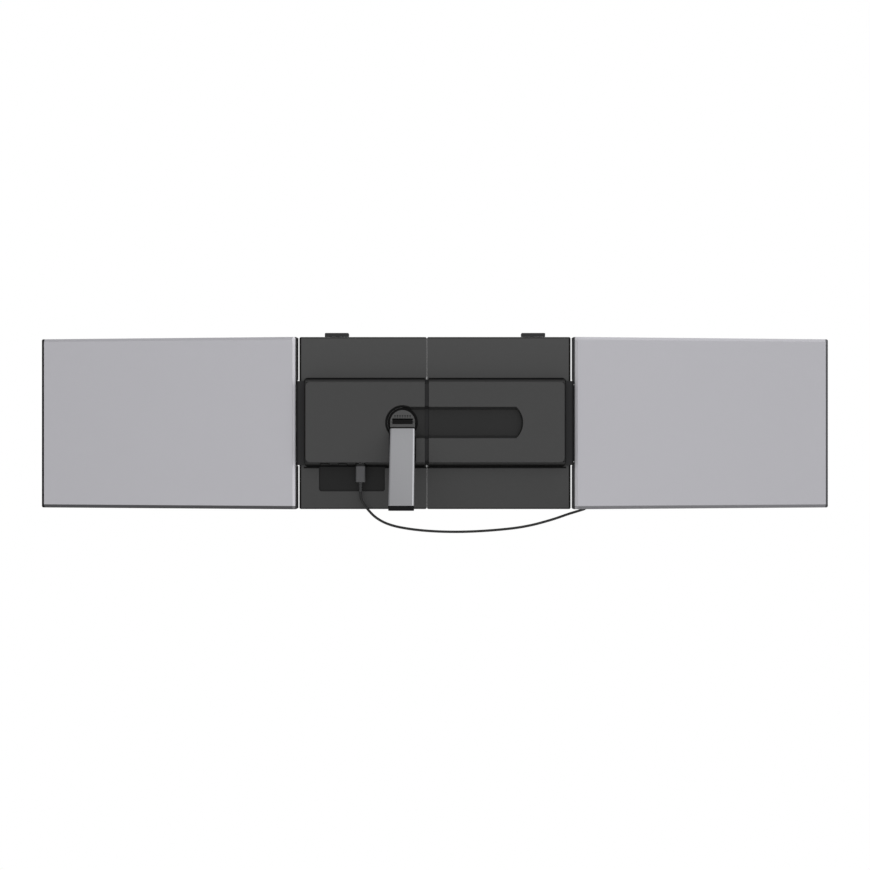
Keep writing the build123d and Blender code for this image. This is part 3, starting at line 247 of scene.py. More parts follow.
def noise(vector, scale, detail):
    """Noise texture on a vector."""
    node = vector.id_data.nodes.new("ShaderNodeTexNoise")
    for socket, term in (("Vector", vector), ("Scale", scale), ("Detail", detail)):
        linked(node.inputs[socket], term)
    return node.outputs["Fac"]


def mixed(factor, one, two):
    """Colour mix of two sockets or colours by a factor."""
    node = factor.id_data.nodes.new("ShaderNodeMix")
    node.data_type = "RGBA"
    for socket, term in zip((node.inputs["Factor"], node.inputs[6], node.inputs[7]), (factor, one, two)):
        linked(socket, term)
    return node.outputs[2]


def brightened(tint, value):
    """Colour made brighter or darker by a factor."""
    node = tint.id_data.nodes.new("ShaderNodeHueSaturation")
    linked(node.inputs["Color"], tint)
    linked(node.inputs["Value"], value)
    return node.outputs["Color"]


# ---- node groups

def grain_recipe(vector, colour, grain, mottle, roughness, spread, wear):
    """Fine surface grain: a mottled colour, an uneven roughness and a height for a bump."""
    fine = noise(vector, grain, 3.0)
    coarse = noise(vector, 18.0, 4.0)
    speck = noise(vector, 900.0, 2.0)
    blend = maths("MULTIPLY_ADD", coarse, 0.6, maths("MULTIPLY", speck, 0.4))
    shift = maths("MULTIPLY", maths("SUBTRACT", blend, 0.5), mottle)
    even = brightened(colour, maths("MULTIPLY_ADD", shift, 2.0, 1.0))
    edge = vector.id_data.nodes.new("ShaderNodeAttribute")
    edge.attribute_name = "edge"
    worn = maths("MULTIPLY", edge.outputs["Fac"], wear)
    patchy = maths("MULTIPLY", worn, maths("MULTIPLY_ADD", coarse, 1.2, 0.3))
    uneven = maths("MULTIPLY", maths("SUBTRACT", speck, 0.5), spread)
    rough = maths("ADD", roughness, uneven)
    return {"Colour": mixed(patchy, even, brightened(even, 1.9)),
            "Roughness": maths("MULTIPLY_ADD", patchy, -0.1, rough), "Height": fine}


def brushed_recipe(vector, colour, mottle, roughness):
    """Brushed lines along X: colour, roughness and height from a noise that is drawn out."""
    drawn = vectors("MULTIPLY", vector, (60.0, 4000.0, 4000.0))
    lines = noise(drawn, 1.0, 2.0)
    offset = maths("MULTIPLY", maths("SUBTRACT", lines, 0.5), mottle)
    return {"Colour": brightened(colour, maths("MULTIPLY_ADD", offset, 2.0, 1.0)),
            "Roughness": maths("MULTIPLY_ADD", lines, 0.15, roughness), "Height": lines}


def faded(past, soft):
    """1 up to an edge, falling to 0 over a soft border past it."""
    return maths("SUBTRACT", 1.0, maths("DIVIDE", past, soft), clamp=True)


def box_recipe(vector, half, soft):
    """Mask of a box round the origin with the given half sizes."""
    x, y, z = split(vectors("SUBTRACT", vectors("ABSOLUTE", vector), half))
    furthest = maths("MAXIMUM", maths("MAXIMUM", x, y), z)
    return {"Mask": faded(furthest, soft)}


def round_recipe(vector, radius, soft):
    """Mask of a round bar along Y through the origin."""
    flat = vectors("MULTIPLY", vector, (1.0, 0.0, 1.0))
    past = maths("SUBTRACT", vectors("LENGTH", flat), radius)
    return {"Mask": faded(past, soft)}


SOCKET_KINDS = {"Vector": "NodeSocketVector", "Half": "NodeSocketVector", "Colour": "NodeSocketColor"}
GROUP_RECIPES = {
    # name: recipe, then its inputs after Vector with their defaults
    "Surface grain": (grain_recipe, {"Colour": (0.5, 0.5, 0.5, 1.0), "Grain": 2500.0, "Mottle": 0.04,
                                     "Roughness": 0.5, "Spread": 0.08, "Wear": 0.0}),
    "Brushed lines": (brushed_recipe, {"Colour": (0.5, 0.5, 0.5, 1.0), "Mottle": 0.1, "Roughness": 0.35}),
    "Box mask": (box_recipe, {"Half": (1.0, 1.0, 1.0), "Soft": 0.0003}),
    "Round mask": (round_recipe, {"Radius": 0.001, "Soft": 0.0003}),
}
GROUPS = {}


def built_group(name):
    """Shader group with a recipe's named inputs and outputs."""
    group = bpy.data.node_groups.new(name, "ShaderNodeTree")
    recipe, defaults = GROUP_RECIPES[name]
    new_socket = group.interface.new_socket
    defaults = {"Vector": ORIGIN, **defaults}
    for socket, default in defaults.items():
        kind = SOCKET_KINDS.get(socket, "NodeSocketFloat")
        new_socket(socket, in_out="INPUT", socket_type=kind).default_value = default
    given = group.nodes.new("NodeGroupInput").outputs
    made = recipe(**{socket.lower(): given[socket] for socket in defaults})
    for socket in made:
        new_socket(socket, in_out="OUTPUT", socket_type=SOCKET_KINDS.get(socket, "NodeSocketFloat"))
    result = group.nodes.new("NodeGroupOutput")
    for socket, term in made.items():
        linked(result.inputs[socket], term)
    return group


def grouped(name, vector, **settings):
    """A node group beside a vector, built once and placed with its own values."""
    if name not in GROUPS:
        GROUPS[name] = built_group(name)
    node = vector.id_data.nodes.new("ShaderNodeGroup")
    node.node_tree = GROUPS[name]
    for socket, value in {"Vector": vector, **settings}.items():
        linked(node.inputs[socket], value)
    return node


# ---- masks

def placed(material, centre=ORIGIN, turn=UNTURNED):
    """Object coordinates counted from a centre and turned into a piece's own frame."""
    nodes = material.node_tree.nodes
    mapping = nodes.new("ShaderNodeMapping")
    mapping.inputs["Rotation"].default_value = turn
    mapping.inputs["Location"].default_value = -(Euler(turn).to_matrix() @ Vector(centre))
    linked(mapping.inputs["Vector"], nodes.new("ShaderNodeTexCoord").outputs["Object"])
    return mapping.outputs["Vector"]


def box_mask(material, centre, half, soft=SOFT, turn=UNTURNED):
    """Mask of a box with its middle at a centre."""
    return grouped("Box mask", placed(material, centre, turn), Half=half, Soft=soft).outputs["Mask"]


def span_mask(material, low, high, soft=SOFT):
    """Mask of a box between two corners."""
    low, high = Vector(low), Vector(high)
    return box_mask(material, (low + high) / 2, (high - low) / 2, soft)


def beyond_mask(material, centre, direction, distance, soft=CRISP, turn=UNTURNED):
    """Mask of what lies past a distance from a centre along a direction, growing over a soft border."""
    along = vectors("DOT_PRODUCT", placed(material, centre, turn), direction)
    return maths("DIVIDE", maths("SUBTRACT", along, distance), soft, clamp=True)


def flipped(mask):
    """The rest of a mask."""
    return maths("SUBTRACT", 1.0, mask)


def overlap(*masks):
    """Where all masks hold."""
    result = masks[0]
    for mask in masks[1:]:
        result = maths("MULTIPLY", result, mask)
    return result


def between_mask(material, centre, direction, start, end, turn=UNTURNED):
    """Mask of what lies between two distances from a centre along a direction."""
    past_start, past_end = (beyond_mask(material, centre, direction, distance, turn=turn)
                            for distance in (start, end))
    return overlap(past_start, flipped(past_end))


def input_of(material, socket):
    """Input of a finish's shader."""
    return material.node_tree.nodes["Principled BSDF"].inputs[socket]


def painted(material, mask, tone, share=1.0):
    """Lay a tone over the finish's colour where a mask is 1."""
    base = input_of(material, "Base Color")
    strength = mask if share == 1.0 else maths("MULTIPLY", mask, share)
    linked(base, mixed(strength, base.links[0].from_socket, (*tone, 1.0)))


# ---- finishes

def dressed(name, group, settings, bump, **constants):
    """Principled finish fed by one node group: colour, roughness and a bump of the given depth."""
    material = bpy.data.materials.new(name)
    material.use_nodes = True
    nodes = material.node_tree.nodes
    surface = grouped(group, nodes.new("ShaderNodeTexCoord").outputs["Object"], **settings).outputs
    relief = nodes.new("ShaderNodeBump")
    relief.inputs["Distance"].default_value = bump
    linked(relief.inputs["Height"], surface["Height"])
    for socket, term in {"Base Color": surface["Colour"], "Roughness": surface["Roughness"],
                         "Normal": relief.outputs["Normal"], **constants}.items():
        linked(input_of(material, socket.replace("_", " ")), term)
    return material


def grained(name, base, roughness, grain=2500.0, mottle=0.04, spread=0.08, wear=0.0, bump=6e-6,
            **constants):
    """Finish with fine grain."""
    settings = {"Colour": (*base, 1.0), "Grain": grain, "Mottle": mottle, "Roughness": roughness,
                "Spread": spread, "Wear": wear}
    return dressed(name, "Surface grain", settings, bump, **constants)


def brushed(name, base, roughness):
    """Steel with brushed lines."""
    settings = {"Colour": (*base, 1.0), "Mottle": 0.12, "Roughness": roughness}
    return dressed(name, "Brushed lines", settings, 2e-6, Metallic=1.0)


DULL = {"Specular_IOR_Level": 0.12}
PANEL_HALF = (160.6 * MM, 103.5 * MM)
BEVEL_FROM = {"outer": 3.7 * MM, "inner": 3.4 * MM, "rim": 1.0 * MM, "lower": 4.2 * MM}
# painted shade on the bevels, as a share of black by side and edge
BEVEL_SHADE = {"left": {"outer": 0.97, "lower": 0.82}, "right": {"outer": 0.65, "rim": 0.7, "lower": 0.5}}
# painted highlight on the inner bevel, as a brightness by side
BEVEL_LIGHT = {"left": 0.85, "right": 0.6}
BEVEL_TINT = (1.0, 0.99, 1.04)
# metallic share of the sheet; the inner bevel is left not metallic so that its painted highlight shows
SILVER_METAL = 0.55


def silver_finish(colours, sizes, side):
    """Anodised sheet; its bevels carry painted shade at the outer end and below, and a painted highlight at
    the hinge.
    """
    material = grained("Satin anodised back " + side, colours.silver, 0.36, grain=3500.0, mottle=0.012,
                       spread=0.04, wear=0.1, bump=1.5e-6)
    turn = (0.0, 0.0, -HAND[side] * sizes.toe_angle)
    middle = middle_of(side + "_rear_cover")
    inwards = (-HAND[side], 0.0, 0.0)
    directions = {"outer": ((HAND[side], 0.0, 0.0), PANEL_HALF[0]), "inner": (inwards, PANEL_HALF[0]),
                  "rim": (inwards, PANEL_HALF[0]), "lower": (DOWN, PANEL_HALF[1])}
    bevels = {name: beyond_mask(material, middle, direction, half - BEVEL_FROM[name], SOFT, turn)
              for name, (direction, half) in directions.items()}
    # painted highlight on the inner bevel, then painted shade on the outer, rim and lower bevels
    painted(material, bevels["inner"], scaled(BEVEL_TINT, BEVEL_LIGHT[side]))
    for name, share in BEVEL_SHADE[side].items():
        painted(material, bevels[name], colours.shade_and_dots, share)
    linked(input_of(material, "Metallic"), maths("MULTIPLY", flipped(bevels["inner"]), SILVER_METAL))
    return material


# painted light: how much brighter the plate's colour grows towards its top
PLATE_TOP_LIGHT = 1.26
# widths of the painted shade along the plates' ends and along their top and bottom
PLATE_RIM = {"end": 2.4 * MM, "side": 1.9 * MM}
SIDE_RIM_SHARE = 0.5
# painted light along the seam between the plates: its half width and its tone
SEAM_LINE = 0.5 * MM
SEAM_LIGHT = (0.19, 0.19, 0.19)
GROOVE_DROP = 1.7 * MM
# sideways and down from the housing's lower left corner; its walls and floor lie between the two depths
PORT_POCKET = {"left": 18.1 * MM, "right": 97.0 * MM, "height": 29.4 * MM}
POCKET_DEPTHS = (-5.8 * MM, -3.8 * MM)


def plate_finish(colours):
    """Painted tray, lighter towards its top by painted light, with a painted light line at the seam, and
    painted shade on its rim, in its groove and in its port pocket.
    """
    material = grained("Dark painted plate", colours.plate, 0.5, grain=3000.0, wear=0.3, bump=4e-6, **DULL)
    left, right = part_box("left_back_plate"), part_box("right_back_plate")
    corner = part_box("left_housing_cover")[0]
    reach, top = right[1].x, right[1].z
    # painted light, growing towards the top
    rising = beyond_mask(material, ORIGIN, UP, -top, 2 * top)
    painted(material, rising, scaled(colours.plate, PLATE_TOP_LIGHT))
    # painted shade: full along the ends, at a share along the top and bottom
    for half, share in (((FAR, FAR, top - PLATE_RIM["side"]), SIDE_RIM_SHARE),
                        ((reach - PLATE_RIM["end"], FAR, FAR), 1.0)):
        painted(material, flipped(box_mask(material, ORIGIN, half)), colours.plate_shade, share)
    seam = (left[1].x + right[0].x) / 2
    # painted light along the seam
    painted(material, box_mask(material, (seam, 0.0, 0.0), (SEAM_LINE, FAR, top), CRISP), SEAM_LIGHT)
    # painted shade in the groove below the housing
    groove = span_mask(material, (corner.x, -FAR, corner.z - GROOVE_DROP), (-corner.x, FAR, corner.z))
    painted(material, groove, colours.shade_and_dots)
    # painted shade on the port pocket's walls and floor
    low = (corner.x + PORT_POCKET["left"], POCKET_DEPTHS[0], corner.z - PORT_POCKET["height"])
    high = (corner.x + PORT_POCKET["right"], POCKET_DEPTHS[1], corner.z)
    painted(material, span_mask(material, low, high, CRISP), colours.pocket)
    return material


WALL_DRAFT = {"side": 5.4 * MM, "end": 2.7 * MM}
# widths over which the painted shade on the drafted walls fades in
WALL_FADE = {"side": 4.0 * MM, "end": 2.0 * MM}
RECESS_FROM = 0.9 * MM
PIT_FROM = 6.8 * MM
RING_RADIUS = 17.5 * MM
RING_SOFT = 0.6 * MM
# painted light on the pocket's floor outside the ring, against the shade there
RING_HALO = (0.18, 0.18, 0.18)
HALO_FADE = 2.0 * MM


def ring_mask(material):
    """Mask of the round pocket that the head turns in."""
    place = placed(material, pivot_of("kickstand_swivel"))
    return grouped("Round mask", place, Radius=RING_RADIUS, Soft=RING_SOFT).outputs["Mask"]


def housing_finish(colours):
    """Moulded cover with painted shade on its drafted walls, darker in its recess, and painted shade,
    darkest, in the head's pocket.

    Outside the pocket's ring, its left half has a light halo of painted light.
    """
    material = grained("Moulded housing", colours.housing, 0.46, grain=2200.0, wear=0.35, bump=6e-6, **DULL)
    low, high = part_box("left_housing_cover")
    centre = (0.0, 0.0, (low.z + high.z) / 2)
    reach, rise = -low.x - WALL_DRAFT["end"], (high.z - low.z) / 2 - WALL_DRAFT["side"]
    sides = box_mask(material, centre, (FAR, FAR, rise), WALL_FADE["side"])
    ends = box_mask(material, centre, (reach, FAR, FAR), WALL_FADE["end"])
    # painted shade on the drafted walls
    painted(material, flipped(overlap(sides, ends)), colours.shade_and_dots)
    face = box_mask(material, centre, (reach, FAR, rise))
    # the recess darker, then painted shade deeper in the head's pit
    for depth, tone in ((RECESS_FROM, colours.recess), (PIT_FROM, colours.shade_and_dots)):
        deep = span_mask(material, (-FAR, low.y + depth, -FAR), (FAR, FAR, FAR), CRISP)
        painted(material, overlap(deep, face), tone)
    # painted light outside the ring, on its left
    beside = beyond_mask(material, pivot_of("kickstand_swivel"), (-1.0, 0.0, 0.0), 0.0, HALO_FADE)
    painted(material, overlap(deep, face, flipped(ring_mask(material)), beside), RING_HALO)
    return material


def moulding_finish(colours, name="Near black moulding"):
    """Near black moulding of the screen frames and small pieces."""
    return grained(name, colours.band, 0.45, wear=0.25, bump=5e-6, **DULL)


# painted shade at the bands' outer ends: where it starts and how far it fades in
BAND_EDGE = 3.0 * MM
BAND_FADE = 2.2 * MM


def band_finish(colours):
    """Near black moulding of the hinge bands, with painted shade that turns them black at their outer ends.
    """
    material = moulding_finish(colours, "Near black band")
    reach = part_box("right_hinge_cover")[1].x
    inner = box_mask(material, ORIGIN, (reach - BAND_EDGE, FAR, FAR), BAND_FADE)
    # painted shade at the outer ends
    painted(material, flipped(inner), colours.shade_and_dots)
    return material


DOT_PITCH = 3.0 * MM
DOT_ROWS = (
    # height above the pivot, radius, strength
    (7.9 * MM, 0.8 * MM, 1.0),
    (5.8 * MM, 0.5 * MM, 0.5),
)
DOT_REACH = 10.4 * MM
HEAD_FACE = 0.8 * MM


def dots_mask(material, pivot, lift, radius):
    """A row of round dots across the head: the distance to the nearest multiple of the pitch."""
    x, _, z = split(placed(material, pivot + Vector((0.0, 0.0, lift))))
    column = maths("WRAP", x, DOT_PITCH / 2, -DOT_PITCH / 2)
    squares = maths("ADD", maths("MULTIPLY", column, column), maths("MULTIPLY", z, z))
    gap = maths("SQRT", squares)
    dot = faded(maths("SUBTRACT", gap, radius), FINE)
    return overlap(dot, box_mask(material, pivot, (DOT_REACH, FAR, FAR)))


def head_finish(colours):
    """Dark grey head with two rows of dots; below its face it has painted shade, black inside the ring, and
    painted light outside it.
    """
    material = grained("Dark grey head", colours.head, 0.42, wear=0.35, bump=4e-6, **DULL)
    pivot = pivot_of("kickstand_swivel")
    for lift, radius, share in DOT_ROWS:
        painted(material, dots_mask(material, pivot, lift, radius), colours.shade_and_dots, share)
    sunk = span_mask(material, (-FAR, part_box("swivel_base")[0].y + HEAD_FACE, -FAR), (FAR, FAR, FAR))
    # painted light on the sunken flange
    painted(material, sunk, RING_HALO)
    # painted shade inside the ring
    painted(material, overlap(sunk, ring_mask(material)), colours.shade_and_dots)
    return material


BARREL_HALF = 11.9 * MM
# places down the leg, counted from its pin
LEG_PLACES = {"barrel": 7.3 * MM, "collar": 11.6 * MM, "line": 12.4 * MM, "lip": 13.4 * MM,
              "cover": 14.4 * MM, "foot": 139.0 * MM}
# painted light: how much brighter the leg's colour is at its top
LEG_TOP_LIGHT = 1.22
# painted highlight: where it runs across the leg and how bright it is
LEG_GLINT = {"start": 12.6 * MM, "end": 13.6 * MM, "light": 1.9}


def down_the_leg(material, sizes, distance, soft=CRISP):
    """Mask of the leg's part that lies further down than a distance from its pin."""
    turn = (sizes.leg_tilt, 0.0, 0.0)
    return beyond_mask(material, pivot_of("kickstand_tilt"), DOWN, distance, soft, turn)


def core_finish(colours, sizes):
    """Inner leg: painted shade makes its barrel black between grey ears; grey collar; painted shade on the
    beam inside the cover.
    """
    material = grained("Dark grey inner leg", colours.head, 0.42, wear=0.35, bump=4e-6, **DULL)
    between = box_mask(material, pivot_of("kickstand_tilt"), (BARREL_HALF, FAR, FAR))
    barrel = overlap(flipped(down_the_leg(material, sizes, LEG_PLACES["barrel"])), between)
    # painted shade on the barrel
    painted(material, barrel, colours.shade_and_dots)
    # painted shade on the beam inside the cover
    painted(material, down_the_leg(material, sizes, LEG_PLACES["collar"]), colours.shade_and_dots)
    return material


def leg_finish(colours, sizes):
    """Bead blasted leg cover: painted light makes it lighter at its top and darker towards the foot; a
    painted glint; a lip and a line of painted shade at its top.
    """
    material = grained("Bead blasted leg", colours.leg, 0.38, grain=4000.0, mottle=0.02, spread=0.05,
                       wear=0.5, bump=2e-6, Metallic=1.0)
    # painted light, fading down the leg
    upper = flipped(down_the_leg(material, sizes, 0.0, LEG_PLACES["foot"]))
    painted(material, upper, scaled(colours.leg, LEG_TOP_LIGHT))
    pin = pivot_of("kickstand_tilt")
    # painted highlight
    glint = between_mask(material, pin, (1.0, 0.0, 0.0), LEG_GLINT["start"], LEG_GLINT["end"])
    painted(material, glint, scaled(colours.leg, LEG_GLINT["light"]))
    painted(material, flipped(down_the_leg(material, sizes, LEG_PLACES["cover"])), colours.head)
    # painted shade line where the cover meets the collar
    turn = (sizes.leg_tilt, 0.0, 0.0)
    line = between_mask(material, pin, DOWN, LEG_PLACES["line"], LEG_PLACES["lip"], turn)
    painted(material, line, colours.shade_and_dots)
    return material


def glass_finish(colours, sizes, side):
    """Front glass: black ink along its border, the unlit display inside it."""
    material = grained("Front glass " + side, colours.ink, 0.05, mottle=0.02, spread=0.01, bump=1e-8,
                       Coat_Weight=0.5, Coat_Roughness=0.03)
    turn = (0.0, 0.0, -HAND[side] * sizes.toe_angle)
    half = (sizes.display_width / 2, FAR, sizes.display_height / 2)
    display = box_mask(material, middle_of(side + "_lcd_module"), half, FINE, turn)
    painted(material, display, colours.display)
    return material


# painted shade over the plug's top, below the housing
PLUG_TOP_SHADE = 3.8 * MM


def plug_finish(colours):
    """Grey moulding with painted shade at its top, where it meets the housing."""
    material = grained("Grey plug moulding", colours.plug, 0.5, wear=0.3, Specular_IOR_Level=0.2)
    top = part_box("usb_plug_body")[1].z
    painted(material, beyond_mask(material, ORIGIN, UP, top - PLUG_TOP_SHADE), colours.shade_and_dots, share=0.9)
    return material


TRACK_PITCH = 2.5 * MM
TRACK_WIDTH = 0.2 * MM
TRACK_LIGHT = 1.9


def board_finish(colours):
    """Solder mask with a net of lighter tracks under it."""
    material = grained("Solder mask", colours.board, 0.35, grain=600.0, mottle=0.15, bump=1e-5)
    tracks = material.node_tree.nodes.new("ShaderNodeTexBrick")
    for socket, term in (("Vector", placed(material, turn=(math.pi / 2, 0.0, 0.0))), ("Scale", 1.0),
                         ("Brick Width", 4 * TRACK_PITCH), ("Row Height", TRACK_PITCH),
                         ("Mortar Size", TRACK_WIDTH), ("Mortar Smooth", 0.1)):
        linked(tracks.inputs[socket], term)
    painted(material, tracks.outputs["Fac"], scaled(colours.board, TRACK_LIGHT))
    return material


def screw_finish(colours):
    """Blackened screws."""
    return grained("Blackened screw", colours.clip, 0.3, grain=1500.0, wear=0.6, bump=3e-6, Metallic=1.0)


def all_finishes(colours, sizes):
    """Every finish by the name of its look. A material slot of the record is a look too."""
    return {
        "silver_left": silver_finish(colours, sizes, "left"),
        "silver_right": silver_finish(colours, sizes, "right"),
        "plate": plate_finish(colours),
        "sheet": grained("Painted front sheet", colours.plate, 0.55, grain=3000.0, wear=0.3, bump=5e-6,
                         Specular_IOR_Level=0.2),
        "housing": housing_finish(colours),
        "dark_plastic": moulding_finish(colours),
        "band": band_finish(colours),
        "clip": grained("Black clip", colours.clip, 0.5, wear=0.3, bump=5e-6, **DULL),
        "head": head_finish(colours),
        "core": core_finish(colours, sizes),
        "leg_silver": leg_finish(colours, sizes),
        "steel": brushed("Stamped steel", colours.steel, 0.32),
        "screw": screw_finish(colours),
        "rubber": grained("Matt rubber", colours.rubber, 0.75, grain=1800.0, mottle=0.1, bump=8e-6,
                          Specular_IOR_Level=0.1),
        "glass_left": glass_finish(colours, sizes, "left"),
        "glass_right": glass_finish(colours, sizes, "right"),
        "display": grained("Display back", colours.backlight, 0.35, Metallic=0.6),
        "board": board_finish(colours),
        "plug_grey": plug_finish(colours),
        "boot": grained("Soft boot", colours.boot, 0.55, grain=1500.0, bump=5e-6, Specular_IOR_Level=0.15),
        "lead_black": grained("Lead jacket", colours.lead, 0.5, grain=1500.0, bump=5e-6,
                              Specular_IOR_Level=0.2),
    }


LOOKS = {}


def finish_of(look):
    """A look's finish; the first call makes them all."""
    if not LOOKS:
        scene = bpy.context.scene
        LOOKS.update(all_finishes(scene.extender_colours, scene.extender_sizes))
    return LOOKS[look]


# ---- meshes

MERGE = 2e-6
SHARP_ANGLE = math.radians(32.0)
FLAT_ANGLE = math.radians(0.4)


def smooth(mesh):
    """Shade all faces of a mesh smooth."""
    mesh.polygons.foreach_set("use_smooth", np.ones(len(mesh.polygons), bool))
    return mesh


def whole(mesh):
    """Merge a mesh's doubles and turn its faces outwards."""
    form = bmesh.new()
    form.from_mesh(mesh)
    bmesh.ops.remove_doubles(form, verts=form.verts, dist=MERGE)
    bmesh.ops.recalc_face_normals(form, faces=form.faces)
    form.to_mesh(mesh)
    form.free()
    return smooth(mesh)


def grid_mesh(name, grids):
    """Mesh of grids of points, rows x columns x 3, each closed round its columns and over its ends."""
    points, faces, start = [], [], 0
    for grid in grids:
        rows, columns = grid.shape[:2]
        index = start + np.arange(rows * columns).reshape(rows, columns)
        after = np.roll(index, -1, axis=1)
        quads = np.stack([index[:-1], after[:-1], after[1:], index[1:]], axis=-1).reshape(-1, 4)
        faces += quads.tolist() + [index[0, ::-1].tolist(), index[-1].tolist()]
        points.append(grid.reshape(-1, 3))
        start += rows * columns
    mesh = bpy.data.meshes.new(name)
    mesh.from_pydata(np.concatenate(points).tolist(), [], faces)
    return whole(mesh)


LEAST_CORNER = 0.05 * MM


def rim_grid(half_width, half_height, corner, profile, per_corner=8):
    """Grid of a profile carried round a rounded rectangle, in its own X and Y, with Z as the level.

    Row i is the rectangle drawn in by profile[i, 0] and lifted to profile[i, 1]. A corner keeps its
    centre until the inset has used up its radius.
    """
    inset, level = profile[:, :1], profile[:, 1:]
    quarter = np.linspace(0.0, math.pi / 2, per_corner)
    turn = (np.arange(4)[:, None] * math.pi / 2 + quarter).ravel()
    sign_x = np.repeat((1.0, -1.0, -1.0, 1.0), per_corner)
    sign_y = np.repeat((1.0, 1.0, -1.0, -1.0), per_corner)
    radius = np.maximum(corner - inset, LEAST_CORNER)
    x = sign_x * np.maximum(half_width - inset - radius, 0.0) + radius * np.cos(turn)
    y = sign_y * np.maximum(half_height - inset - radius, 0.0) + radius * np.sin(turn)
    return np.stack([x, y, np.broadcast_to(level, x.shape)], axis=-1)


def rounded_profile(height, rounding, rows=40):
    """Inset and level up a flank with a quarter round at both ends.

    The inset is the rounding less the height of its circle above the distance from the nearer end.
    """
    level = height * (0.5 - 0.5 * np.cos(np.linspace(0.0, math.pi, rows)))
    near = np.clip(np.minimum(level, height - level) / rounding, 0.0, 1.0)
    inset = rounding * (1.0 - np.sqrt(1.0 - (1.0 - near) ** 2))
    return np.stack([inset, level], axis=-1)


def piece(name, mesh, body, material, replaced=()):
    """Finished mesh as an object at the origin that rides on a body and stands for CAD nodes."""
    made = added(name, mesh)
    mesh.materials.clear()
    mesh.materials.append(material)
    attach(made, body)
    if replaced:
        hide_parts(*replaced)
    return made


def grid_piece(name, grids, body, slot, look=None, replaced=()):
    """Piece made of closed grids, in its slot's own finish unless another look is named."""
    return piece(name, grid_mesh(name, grids), body, finish_of(look or slot), replaced)


def body_of(node):
    """CAD body that a node rides on."""
    return frame["nodes"][node]["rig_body"]


def slot_of(node):
    """Material slot that the record gives a node."""
    return next(row["material_slot"] for row in frame["record"]["subparts"] if row["node"] == node)


def eased(node, width, segments):
    """Copy of a CAD node with merged doubles, whose sharp edges are rounded by a width.

    The attribute "edge" is 1 along the middle of each rounding and 0 elsewhere.
    """
    mesh = frame["nodes"][node].data.copy()
    mesh.name = node + "_eased"
    form = bmesh.new()
    form.from_mesh(mesh)
    layer = form.verts.layers.float.new("edge")
    bmesh.ops.remove_doubles(form, verts=form.verts, dist=MERGE)
    bmesh.ops.dissolve_limit(form, angle_limit=FLAT_ANGLE, verts=form.verts, edges=form.edges)
    sharp = [edge for edge in form.edges
             if len(edge.link_faces) == 2 and edge.calc_face_angle(0.0) > SHARP_ANGLE]
    made = bmesh.ops.bevel(form, geom=sharp, offset=width, offset_type="OFFSET", segments=segments,
                           profile=0.5, affect="EDGES", clamp_overlap=True)
    strip = set(made["faces"])
    for vert in made["verts"]:
        vert[layer] = float(all(face in strip for face in vert.link_faces))
    form.to_mesh(mesh)
    form.free()
    return smooth(mesh)


def ease_nodes(nodes, width, look=None, segments=2):
    """Put softened copies in the place of CAD nodes."""
    for node in nodes:
        slot = slot_of(node)
        mesh = eased(node, width, segments)
        made = piece(node + "_soft", mesh, body_of(node), finish_of(look or slot), [node])
        made.modifiers.new("Flat faces", "WEIGHTED_NORMAL").keep_sharp = True


def paint_nodes(nodes, look=None):
    """Give CAD nodes their finish in their own material slot."""
    for node in nodes:
        target = frame["nodes"][node].data
        target.materials.clear()
        target.materials.append(finish_of(look or slot_of(node)))


# ---- camera and lead

class EXTENDER_OT_camera(Operator):
    """Camera level with the frame, straight behind it"""

    bl_idname = "extender.camera"
    bl_label = "Camera"

    def execute(self, context):
        sizes = context.scene.extender_sizes
        data = bpy.data.cameras.new("Camera")
        data.lens = sizes.camera_lens
        data.clip_end = 50.0
        camera = added("Camera", data)
        camera.location = (0.0, -sizes.camera_distance, -sizes.camera_drop)
        camera.rotation_euler = (math.pi / 2, 0.0, 0.0)
        context.scene.camera = camera
        return {"FINISHED"}


PLUG_CORNER = 2.2 * MM
PLUG_ROUNDING = 0.9 * MM
PLUG_GRIP = {"start": 6.0 * MM, "end": 15.0 * MM, "waves": 6, "depth": 0.14 * MM}
BOOT_ROUNDING = 0.3 * MM
BOOT_TAPER = 0.4 * MM
BOOT_GROOVE = {"start": 2.7 * MM, "pitch": 2.6 * MM, "width": 1.0 * MM, "depth": 0.5 * MM, "count": 3}


def plug_profile(height):
    """Rounded flank with shallow cosine grip ribs along its middle."""
    profile = rounded_profile(height, PLUG_ROUNDING, rows=96)
    along = (profile[:, 1] - PLUG_GRIP["start"]) / (PLUG_GRIP["end"] - PLUG_GRIP["start"])
    inside = (along > 0.0) & (along < 1.0)
    wave = 0.5 - 0.5 * np.cos(2 * math.pi * PLUG_GRIP["waves"] * along)
    profile[:, 0] += np.where(inside, PLUG_GRIP["depth"] * wave, 0.0)
    return profile


def boot_profile(height):
    """Taper towards the lead with round-edged grooves: each is a flat-topped bell round its middle."""
    profile = rounded_profile(height, BOOT_ROUNDING, rows=90)
    level = profile[:, 1]
    profile[:, 0] += BOOT_TAPER * (1.0 - level / height)
    tops = height - BOOT_GROOVE["start"] - BOOT_GROOVE["pitch"] * np.arange(BOOT_GROOVE["count"])
    middles = tops - BOOT_GROOVE["width"] / 2
    away = (level[:, None] - middles) / (BOOT_GROOVE["width"] / 2)
    profile[:, 0] += BOOT_GROOVE["depth"] * np.exp(-away ** 6).sum(axis=1)
    return profile


